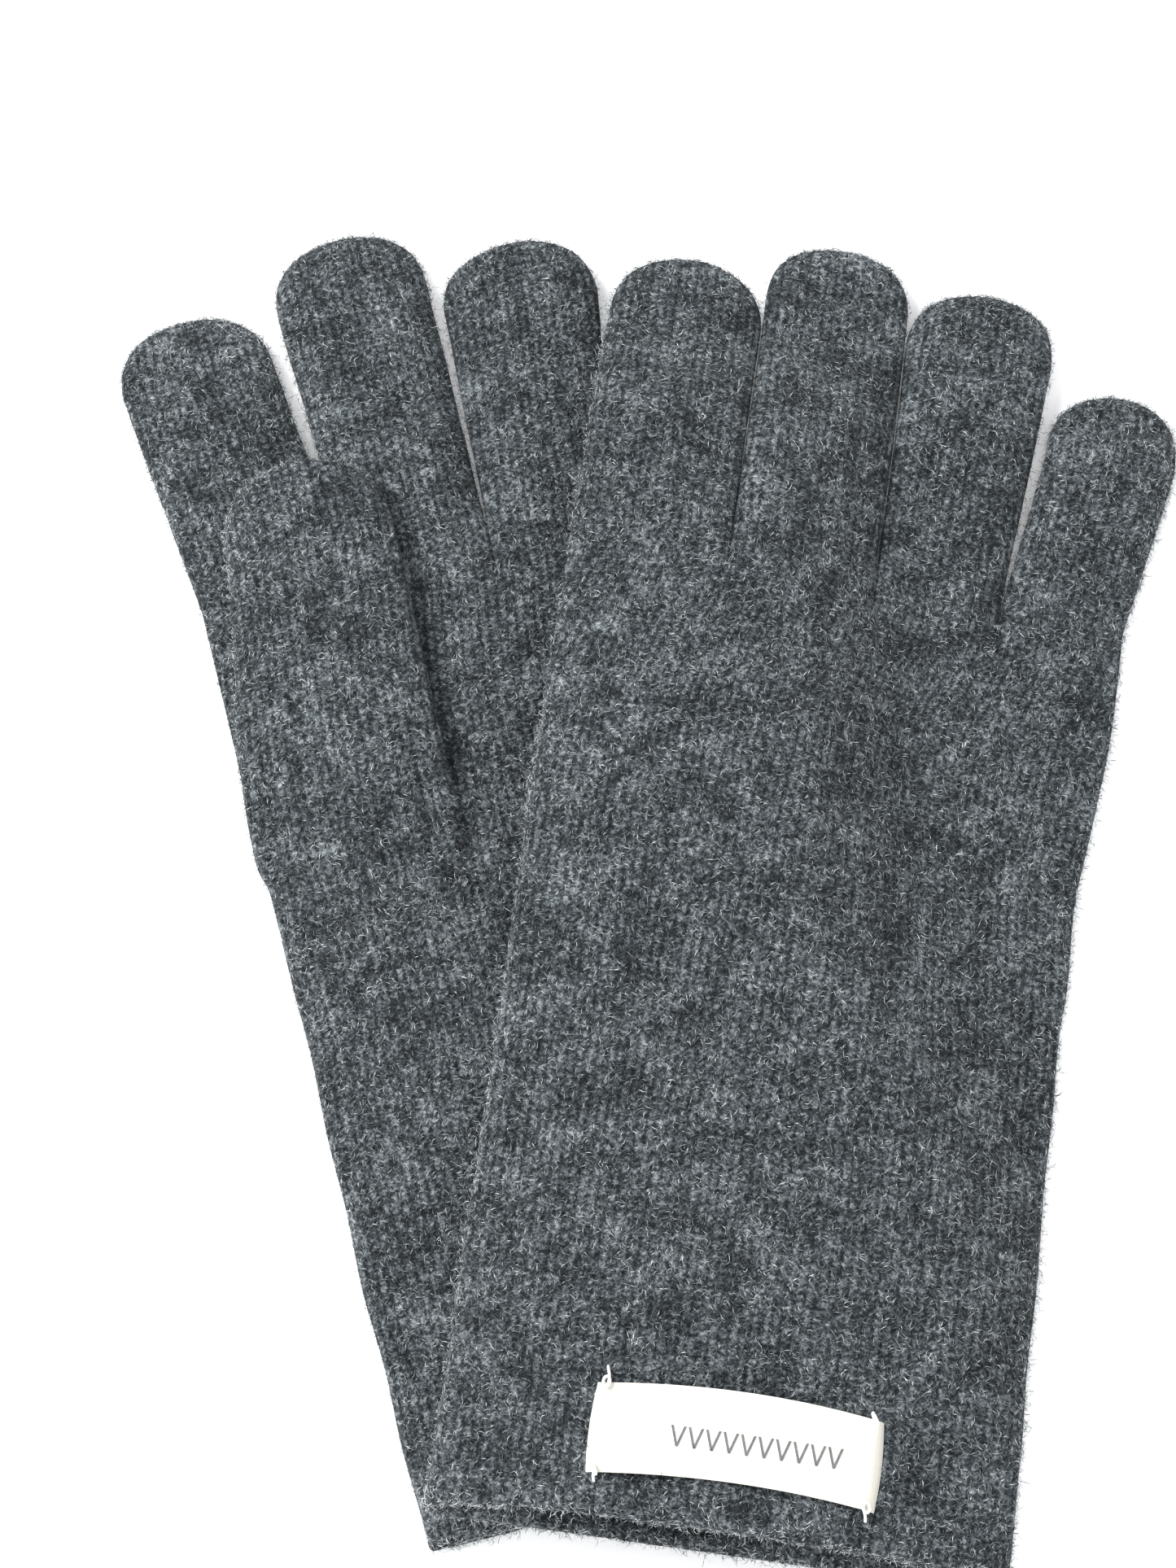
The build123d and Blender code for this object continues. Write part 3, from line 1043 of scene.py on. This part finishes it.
        bottom = self.lay.to_row(u, rows, base + lower)
        grid = looped(top, bottom)
        places = self.fabric_places(grid, rows[:, :1])
        places[..., 0] += self.thumb_middle * MM
        return grid, places


SPINDLE = ((0, 2, 1), (0, 3, 2), (0, 1, 3), (4, 1, 2), (4, 2, 3), (4, 3, 1))  # a fibre's triangles
PALER = (-0.1, 0.05, 0.05, 0.05, 0.22)  # what each of its points adds to its tone


@dataclass
class Fuzz:
    """The nap of felted wool: short fibres that curl out of a knitted surface.

    Each fibre is a closed spindle with a bend. With n the surface's normal, t a
    random way along it and b square to both, it runs from p, just inside the
    surface, by p + length * (middle t + lift n) to p + length * (end t + rise n
    + curl b), and its middle is a small triangle round its line.
    """

    density: float = 3.9  # fibres in a square millimetre where the nap shows
    hidden: float = 0.12  # share of them where something covers the surface
    length: tuple[float, float] = (0.8, 2.4)
    width: float = 0.125  # drawn more than twice as thick as the 0.05 mm wisps, which would not show
    middle: float = 0.45
    end: float = 0.85
    curl: float = 0.28
    root: float = 0.12  # how far inside the surface it starts
    floor: float = 0.12  # how near the floor it may come
    side_boost: float = 1.2  # more fibres where the surface turns away
    # painted highlight: how much paler the fibres are drawn where the surface turns away
    rim_painted_highlight: float = 0.4
    crease_thins: float = 0.65  # fewer ones in a crease, where their tone also carries painted shade
    # painted shade: how much darker the fibres are drawn in a crease
    crease_painted_shade: float = 0.42
    wale: float = 1.7
    course: float = 1.25
    most: int = 30000  # fibres in one piece
    seed: int = 11

    def build(
        self,
        name: str,
        grid: Array,
        places: Array,
        covered: Callable[[Array], Array],
        creased: Callable[[Array], Array],
    ) -> list[bpy.types.Object]:
        """Grows the fibres of one knitted piece.

        Args:
            name: The knitted piece's name.
            grid: Its points, rows by columns, wrapped.
            places: The points' places in the fabric, in metres.
            covered: Says which points something lies on: 0, 1, or 2 where no nap may rise.
            creased: Says how deep in a crease points lie, from 1, where the nap is sparse and drawn darker as
                painted shade, to below 0 on a rim, where it is dense and drawn paler as a painted highlight.

        Returns:
            The fibres, as one or more meshes.
        """
        draw = np.random.default_rng(self.seed + len(name) * 7 + grid.shape[0])
        normal = normals_of(grid)
        a, b = grid[:-1], np.roll(grid, -1, axis=1)[:-1]
        area = np.linalg.norm(np.cross(b - a, grid[1:] - a), axis=-1)
        shown = smooth((normal[:-1, :, 2] + 0.75) / 0.5) * (covered(grid[:-1]) < 1)
        steep = 1 - np.abs(normal[:-1, :, 2])
        deep = creased(grid[:-1])
        open_side = steep * (1 - deep)
        weight = area * mix(self.hidden, 1.0 + self.side_boost * open_side, shown) * (covered(grid[:-1]) < 2)
        weight *= 1 - self.crease_thins * deep
        # painted light in the fibres' tone: a painted highlight on open steep sides and on the cuff's rim, and
        # painted shade in creases
        paler = (self.rim_painted_highlight * open_side**1.4 - self.crease_painted_shade * deep).ravel()
        count = int(weight.sum() * self.density)
        chosen = np.sort(draw.choice(weight.size, size=count, p=(weight / weight.sum()).ravel()))
        pieces = []
        for number, cells in enumerate(np.array_split(chosen, -(-count // self.most)), 1):
            points = self.fibres(draw, grid, normal, cells, 1 - 0.45 * steep.ravel()[cells][:, None])
            tone = self.tones(draw, places.reshape(-1, 2)[cells] / MM) + paler[cells]
            pieces.append(self.mesh(f"{name}_nap_{number}", points, tone))
        return pieces

    def tones(self, draw: np.random.Generator, place: Array) -> Array:
        """Tone of each fibre: random, and a little paler on a column's ridge and a stitch's loop.

        Args:
            draw: Source of the random part.
            place: Where each grows in the fabric, in millimetres.

        Returns:
            Tones of about 0 to 1.
        """
        column = np.cos(2 * math.pi * (place[:, 0] / self.wale + 0.12 * np.sin(place[:, 1] / 2.3)))
        loop = np.cos(2 * math.pi * place[:, 1] / self.course)
        return draw.random(len(place)) + 0.11 * column + 0.05 * loop

    def fibres(
        self, draw: np.random.Generator, grid: Array, normal: Array, cells: Array, fine: Array
    ) -> Array:
        """Works out the five points of each fibre.

        Args:
            draw: Source of the random ways.
            grid: The knitted surface.
            normal: Its outward normals.
            cells: The cell that each fibre grows from.
            fine: Share of the full width that each has.

        Returns:
            Points, fibres by 5 by 3.
        """
        count = len(cells)
        row, column = np.divmod(cells, grid.shape[1])
        after = (column + 1) % grid.shape[1]
        s, t = draw.random((2, count, 1))
        near = mix(grid[row, column], grid[row, after], s)
        far = mix(grid[row + 1, column], grid[row + 1, after], s)
        start = mix(near, far, t)
        up = normal[row, column]
        way = draw.normal(size=(count, 3))
        way -= (way * up).sum(axis=1, keepdims=True) * up
        way /= np.linalg.norm(way, axis=1, keepdims=True)
        beside = np.cross(up, way)
        reach = draw.uniform(*self.length, size=(count, 1))
        lift = draw.gamma(1.7, 0.11, size=(count, 1))
        rise = lift * draw.uniform(0.2, 2.2, size=(count, 1))
        curl = draw.normal(0, self.curl, size=(count, 1))
        middle = start + reach * (self.middle * way + lift * up)
        end = start + reach * (self.end * way + rise * up + curl * beside)
        for point in (middle, end):
            point[:, 2] = np.maximum(point[:, 2], self.floor)
        wide = self.width / 2 * fine * draw.uniform(0.6, 1.4, size=(count, 1))
        turn = draw.uniform(0, 2 * math.pi, size=(count, 1))
        round_it = [
            middle + wide * (np.cos(turn + k * 2.1) * beside + np.sin(turn + k * 2.1) * up) for k in range(3)
        ]
        return np.stack([start - self.root * up, *round_it, end], axis=1)

    @staticmethod
    def mesh(name: str, points: Array, tone: Array) -> bpy.types.Object:
        """Makes the mesh of many fibres, each of six triangles that pale towards its end.

        Args:
            name: The piece's name.
            points: Five points of each fibre.
            tone: The tone of each fibre, kept in the UV map.

        Returns:
            The object.
        """
        count = len(points)
        shape = np.array(SPINDLE)
        corners = ((np.arange(count) * 5)[:, None, None] + shape[None]).astype(np.int32).ravel()
        mesh = bpy.data.meshes.new(name)
        mesh.vertices.add(count * 5)
        mesh.vertices.foreach_set("co", (points * MM).astype(np.float32).ravel())
        mesh.loops.add(len(corners))
        mesh.loops.foreach_set("vertex_index", corners)
        mesh.polygons.add(count * 6)
        mesh.polygons.foreach_set("loop_start", (np.arange(count * 6) * 3).astype(np.int32))
        mesh.polygons.foreach_set("use_smooth", np.ones(count * 6, dtype=bool))
        paler = np.array(PALER)[shape.ravel()]
        own = (tone[:, None] + paler[None]).ravel()
        layer = mesh.uv_layers.new(name="tone")
        layer.data.foreach_set("uv", np.stack([own, own], axis=-1).astype(np.float32).ravel())
        mesh.update()
        piece = bpy.data.objects.new(name, mesh)
        bpy.context.scene.collection.objects.link(piece)
        return piece


# ---------------------------------------------------------------- the label


@dataclass
class Label:
    """The woven label on the back of the right cuff, its print and its stitches."""

    glove: Glove
    left: float = -24.3
    right: float = 23.7
    low: float = 9.7
    high: float = 24.7
    thick: float = 0.45
    held_off: float = 0.85  # by the cuff's nap
    arch: float = 0.72
    ripple: float = 0.2
    lifted_edge: float = 0.35
    tucked_end: float = 0.9
    end_fold: float = 0.22  # what the turned-under ends add
    bow: float = 1.5
    end_bulge: float = 0.45

    chevrons: int = 10
    chevron_width: float = 2.6
    chevron_pitch: float = 1.12  # in widths
    chevron_height: float = 3.4
    print_shift: float = 3.4
    line: float = 0.42
    ink: float = 0.05  # thickness of the print

    stitch_thread: float = 0.24
    stitch_width: float = 0.55
    stitch_height: float = 0.85
    stitch_turns: float = 2.5
    tail_start: float = 0.7  # share of the thread before its cut tail

    def surface(self, u: Array, v: Array) -> Array:
        """Height of the tape's underside: the cuff's upper layer, bridged and held off by the nap.

        Args:
            u: Places across the glove.
            v: Places along it.

        Returns:
            Heights above the floor.
        """
        base = self.glove.underside(u, v) + self.glove.upper(u, v)
        s = (2 * u - self.left - self.right) / (self.right - self.left)
        t = (2 * v - self.low - self.high) / (self.high - self.low)
        arch = self.arch * (1 - s**2) * (0.6 + 0.4 * t) + self.ripple * np.sin(2.6 * s + 0.6)
        curl = self.lifted_edge * t**4 - self.tucked_end * np.clip((s - 0.93) / 0.07, 0, 1) ** 2
        return base + self.held_off + arch + curl

    def outline(self, s: Array, t: Array) -> tuple[Array, Array]:
        """The tape: a strip with a slight bow and rounded ends.

        Args:
            s: Places along the tape, from -1 to 1.
            t: Places across it, from -1 to 1.

        Returns:
            u and v of each place.
        """
        bulge = self.end_bulge * np.abs(s) ** 12 * np.sign(s) * (1 - t**2)
        u = mix(self.left, self.right, (s + 1) / 2) + bulge
        v = mix(self.low, self.high, (t + 1) / 2) + self.bow * (1 - s**2) - 0.4
        return u, v

    def build_tape(self) -> bpy.types.Object:
        """Builds the tape as a closed strip whose edges are rounded.

        Its section is a loop: t = -cos a along the width, with the two faces
        apart by thick * sin a to the power 0.3.

        Returns:
            The tape.
        """
        s = np.linspace(-1, 1, 90)[:, None]
        angle = np.linspace(0, 2 * math.pi, 72, endpoint=False)[None, :]
        t = -np.cos(angle)
        end = np.clip((1 - np.abs(s)) / 0.02, 0, 1) ** 0.5
        u, v = self.outline(s + 0 * t, t + 0 * s)
        half = self.thick / 2 * np.sign(np.sin(angle)) * np.abs(np.sin(angle)) ** 0.3 * mix(0.3, 1.0, end)
        fold = self.end_fold * np.exp(-(((1 - np.abs(s)) / 0.08) ** 2))
        z = self.surface(u, v) + self.thick / 2 + half + fold * np.sign(np.sin(angle))
        grid = self.glove.lay.to_row(u, v, z)
        places = np.stack([u, v], axis=-1) * MM
        return new_mesh("label_tape", grid, tube_faces(*grid.shape[:2], turned=True), places)

    def top(self, u: Array, v: Array) -> Array:
        """Height of the tape's upper face."""
        return self.surface(u, v) + self.thick

    def build_print(self) -> bpy.types.Object:
        """Builds a row of small knit stitches in ink: each is a V of two slanted bars.

        Returns:
            The print.
        """
        middle_u = (self.left + self.right) / 2 + self.print_shift
        middle_v = (self.low + self.high) / 2
        place = (np.arange(self.chevrons) - (self.chevrons - 1) / 2) * self.chevron_width * self.chevron_pitch
        along = np.linspace(0, 1, 5)[:, None]
        corner_u = np.array([-0.5, 0.5, 0.5, -0.5])[None, :] * self.line
        corner_z = np.array([0.0, 0.0, 1.0, 1.0])[None, :] * self.ink
        faces = tube_faces(len(along), 4, turned=True)
        bars = []
        for u0 in middle_u + place:
            for side in (-1, 1):
                u = u0 + side * along * self.chevron_width * 0.42 + corner_u
                v = middle_v + (along - 0.5) * self.chevron_height + 0 * u
                grid = self.glove.lay.to_row(u, v, self.top(u, v) + 0.02 + corner_z)
                bars.append((grid.reshape(-1, 3), faces))
        return joined("label_print", bars)

    def build_tacks(self) -> bpy.types.Object:
        """Builds the four corner stitches: each is three turns of thread with a cut tail.

        A stitch's centre line is p + (a cos t, b sin t) about the tape's corner,
        rising over its edge, and its tail runs off in a shallow curve.

        Returns:
            The stitches.
        """
        corners = (  # u, v, way of the tail, and its length
            (self.left + 1.4, self.high - 0.2, 1.0, 2.6),
            (self.left + 1.2, self.low + 0.2, -1.0, 2.0),
            (self.right - 1.6, self.high - 0.2, 1.0, 1.0),
            (self.right - 1.4, self.low + 0.2, -1.0, 2.4),
        )
        tubes = []
        for place, (u0, v0, way, tail) in enumerate(corners):
            t = np.linspace(0, 1, 60)
            turns = 2 * math.pi * self.stitch_turns * t
            run = (t - self.tail_start) / (1 - self.tail_start)
            loop = np.clip(1 - run, 0, 1)
            u = u0 + self.stitch_width * np.cos(turns + place) * loop
            u = u + 0.5 * np.sin(place * 2.1) * np.maximum(run, 0)
            v = v0 + self.stitch_height * np.sin(turns) * loop + way * tail * smooth(run)
            lifted = 0.5 + 0.28 * np.sin(turns * 0.5 + place) ** 2
            z = self.top(u, v) + lifted - 0.9 * smooth((t - 0.8) / 0.2)
            tubes.append(thread(self.glove.lay.to_row(u, v, z), self.stitch_thread))
        return joined("label_stitches", tubes)


def thread(line: Array, radius: float) -> tuple[Array, Array]:
    """A round tube along a line, closed at both ends.

    Each section is the circle radius * (cos a * side + sin a * up) about a
    point of the line, with side and up square to the line there.

    Args:
        line: Points of its centre line.
        radius: Its radius.

    Returns:
        Points and quads.
    """
    ahead = np.gradient(line, axis=0)
    ahead /= np.linalg.norm(ahead, axis=1, keepdims=True)
    side = np.cross(ahead, [0.0, 0.0, 1.0])
    side /= np.maximum(np.linalg.norm(side, axis=1, keepdims=True), 1e-6)
    up = np.cross(side, ahead)
    angle = np.linspace(0, 2 * math.pi, 10, endpoint=False)[None, :, None]
    size = radius * np.sqrt(np.clip(1 - np.linspace(-1, 1, len(line)) ** 60, 0.05, 1))[:, None, None]
    grid = line[:, None] + size * (np.cos(angle) * side[:, None] + np.sin(angle) * up[:, None])
    return grid.reshape(-1, 3), tube_faces(*grid.shape[:2], turned=True)


def joined(name: str, parts: list[tuple[Array, Array]]) -> bpy.types.Object:
    """Makes one mesh of several parts.

    Args:
        name: The piece's name.
        parts: Points and quads of each part.

    Returns:
        The object.
    """
    start = np.cumsum([0] + [len(points) for points, _ in parts])
    points = np.concatenate([points for points, _ in parts])
    faces = np.concatenate([faces + first for (_, faces), first in zip(parts, start)])
    return new_mesh(name, points, faces)


# ---------------------------------------------------------------- the studio


@dataclass
class Studio:
    """The pale floor, the soft lights and the camera."""

    aim: tuple[float, float, float] = (-0.0110, 0.0185, 0.0)
    distance: float = 0.650
    tilt: float = 18.0  # degrees from straight down, towards the cuffs
    focal: float = 82.6
    floor_reach: float = 6000.0

    def build_floor(self) -> bpy.types.Object:
        """Builds the floor, a plane just under the gloves.

        Returns:
            The floor.
        """
        line = np.linspace(-self.floor_reach, self.floor_reach, 31)
        x, y = np.meshgrid(line, line, indexing="ij")
        points = np.stack([x, y, np.full_like(x, -0.02)], axis=-1)
        floor = new_mesh("floor", points, grid_faces(*x.shape, False)[:, ::-1])
        floor.data.materials.append(FLOOR.material())
        return floor

    def build_light(self, name: str, place: tuple[float, float, float], size: float, power: float) -> None:
        """Adds a square area light that faces the gloves.

        Args:
            name: The light's name.
            place: Where it is, in metres.
            size: Its side, in metres.
            power: Its power, in watts.
        """
        light = bpy.data.lights.new(name, "AREA")
        light.size = size
        light.energy = power
        lamp = bpy.data.objects.new(name, light)
        lamp.location = place
        toward = Vector((0.0, 0.0, 0.0)) - lamp.location
        lamp.rotation_euler = toward.to_track_quat("-Z", "Y").to_euler()
        bpy.context.scene.collection.objects.link(lamp)

    def build_camera(self) -> None:
        """Adds the camera, above the cuffs and looking down at the pair."""
        tilt = math.radians(self.tilt)
        data = bpy.data.cameras.new("camera")
        data.lens = self.focal
        data.clip_start = 0.01
        camera = bpy.data.objects.new("camera", data)
        x, y, z = self.aim
        camera.location = (x, y - self.distance * math.sin(tilt), z + self.distance * math.cos(tilt))
        camera.rotation_euler = (tilt, 0.0, 0.0)
        bpy.context.scene.collection.objects.link(camera)
        bpy.context.scene.camera = camera

    def build(self) -> None:
        """Builds everything round the object."""
        self.build_floor()
        self.build_light("key", (-1.0, 0.5, 0.9), 0.7, 33.0)
        self.build_light("fill", (0.35, -1.1, 0.75), 1.0, 10.0)
        world = bpy.data.worlds.new("studio")
        world.use_nodes = True
        background = world.node_tree.nodes["Background"]
        background.inputs["Color"].default_value = linear("#f2f4f7")
        background.inputs["Strength"].default_value = 1.0
        bpy.context.scene.world = world
        bpy.context.scene.view_settings.view_transform = "Standard"
        self.build_camera()


# ---------------------------------------------------------------- the pair


LEFT_FINGERS = (
    Finger("index", (-50.3, -22.2), (-55.3, -26.6), 231.6),
    Finger("middle", (-21.8, 3.8), (-23.5, 5.2), 241.0),
    Finger("ring", (4.2, 27.8), (6.8, 36.0), 232.2),
    Finger("little", (28.2, 51.3), (35.8, 59.3), 215.0),
)
RIGHT_FINGERS = (
    Finger("index", (-50.3, -21.7), (-49.9, -21.5), 234.7),
    Finger("middle", (-21.3, 5.3), (-21.3, 5.5), 243.4),
    Finger("ring", (5.7, 28.3), (5.8, 33.2), 237.9),
    Finger("little", (28.7, 51.3), (33.9, 58.0), 220.6),
)


@dataclass
class Pair:
    """Both gloves with their nap, the label and its stitches; each glove's cuff and hand, and the label, are
    attached to their glove's body.
    """

    wool: bpy.types.Material = field(init=False)
    fibre: bpy.types.Material = field(init=False)
    fuzz: Fuzz = field(default_factory=Fuzz)
    left: Glove = field(init=False)
    right: Glove = field(init=False)
    label: "Label" = field(init=False)

    def __post_init__(self) -> None:
        """Makes the finishes, both gloves and the label's sizes."""
        self.wool = FeltedKnit().material()
        self.fibre = WoolFibre().material()
        self.left = Glove("left", Lying.PALM_UP, LEFT_FINGERS, seed=3)
        self.right = Glove(
            "right", Lying.PALM_DOWN, RIGHT_FINGERS, self.left, mouth_bulge=1.1, mouth_slant=3.0, seed=8
        )
        self.label = Label(self.right)

    def dress(self, piece: bpy.types.Object, material: bpy.types.Material) -> bpy.types.Object:
        """Gives a piece its material and logs it.

        Args:
            piece: The piece.
            material: Its material.

        Returns:
            The piece.
        """
        piece.data.materials.append(material)
        log.info("built %s: %d faces", piece.name, len(piece.data.polygons))
        return piece

    def knit(self, glove: Glove, name: str, grid: Array, places: Array, nodes: tuple[str, ...]) -> list:
        """Builds a tube of knit and its nap.

        Args:
            glove: The glove.
            name: The tube's name.
            grid: Its points.
            places: Its places in the fabric.
            nodes: The CAD nodes that it stands for.

        Returns:
            The tube, then its nap.
        """
        tube = new_mesh(name, grid, tube_faces(*grid.shape[:2]), places)
        piece = self.dress(tube, self.wool)
        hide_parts(*nodes)
        covered = self.under_right if glove is self.left else self.under_label
        if name == "right_thumb_knit":
            covered = self.under_right
        naps = self.fuzz.build(name, grid, places, covered, glove.creases)
        return [piece, *(self.dress(nap, self.fibre) for nap in naps)]

    def under_right(self, points: Array) -> Array:
        """1 where the right glove lies over a point, 0 elsewhere.

        Args:
            points: Places in the row frame, in millimetres.

        Returns:
            0 or 1 for each.
        """
        u, v = self.right.lay.to_glove(points[..., 0], points[..., 1])
        return ((u > -44) & (u < 44) & (v > 4) & (v < 225)).astype(float)

    def under_label(self, points: Array) -> Array:
        """2 where the label lies over a point of the right cuff, 0 elsewhere.

        Args:
            points: Places in the row frame, in millimetres.

        Returns:
            0 or 2 for each.
        """
        u, v = self.right.lay.to_glove(points[..., 0], points[..., 1])
        label = self.label
        over = (u > label.left) & (u < label.right) & (v > label.low - 0.2) & (v < label.high + 1.0)
        return 2.0 * (over & (points[..., 2] > 12))

    def build_glove(self, glove: Glove) -> None:
        """Builds the hand, the fingers and the thumb of one glove.

        Args:
            glove: The glove.
        """
        body = f"{glove.name}_glove"
        nodes = [f"{glove.name}_{part}" for part in ("hand", "cuff", "cuff_edge")]
        for piece in self.knit(glove, f"{glove.name}_cuff_and_hand", *glove.hand_grid(), tuple(nodes)):
            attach(piece, body)
        for finger in glove.fingers:
            node = f"{glove.name}_{finger.name}_finger"
            start = self.point(glove, finger, glove.knuckles - 0.4)
            end = self.point(glove, finger, glove.knuckles + 9)
            for piece in self.knit(glove, f"{node}_knit", *glove.finger_grid(finger), (node,)):
                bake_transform(piece)
        thumb = f"{glove.name}_thumb"
        start = glove.lay.to_row(glove.thumb_middle, glove.thumb_root, 10.0) * MM
        end = glove.lay.to_row(glove.thumb_middle, glove.thumb_root + 14, 10.0) * MM
        for piece in self.knit(glove, f"{thumb}_knit", *glove.thumb_grid(), (thumb, f"{thumb}_gusset")):
            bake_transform(piece)

    @staticmethod
    def point(glove: Glove, finger: Finger, v: float) -> tuple[float, float, float]:
        """A point on a finger's middle line.

        Args:
            glove: The glove.
            finger: One of its fingers.
            v: A place along it.

        Returns:
            The point, in metres.
        """
        return tuple(glove.lay.to_row(sum(finger.base) / 2, v, 5.0) * MM)

    def build_label(self) -> None:
        """Builds the tape, its print and its corner stitches on the right cuff."""
        label = self.label
        tape = self.dress(label.build_tape(), WovenTape().material())
        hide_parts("label")
        ink = self.dress(label.build_print(), PRINTING_INK.material())
        stitches = self.dress(label.build_tacks(), SEWING_THREAD.material())
        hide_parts("label_tacks")
        for piece in (tape, ink, stitches):
            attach(piece, "right_glove")

    def build(self) -> None:
        """Builds the whole pair."""
        self.build_glove(self.left)
        self.build_glove(self.right)
        self.build_label()


def main() -> None:
    """Builds the studio and the pair."""
    logging.basicConfig(level=logging.INFO, format="%(name)s: %(message)s")
    Studio().build()
    Pair().build()


if __name__ == "__main__":
    main()
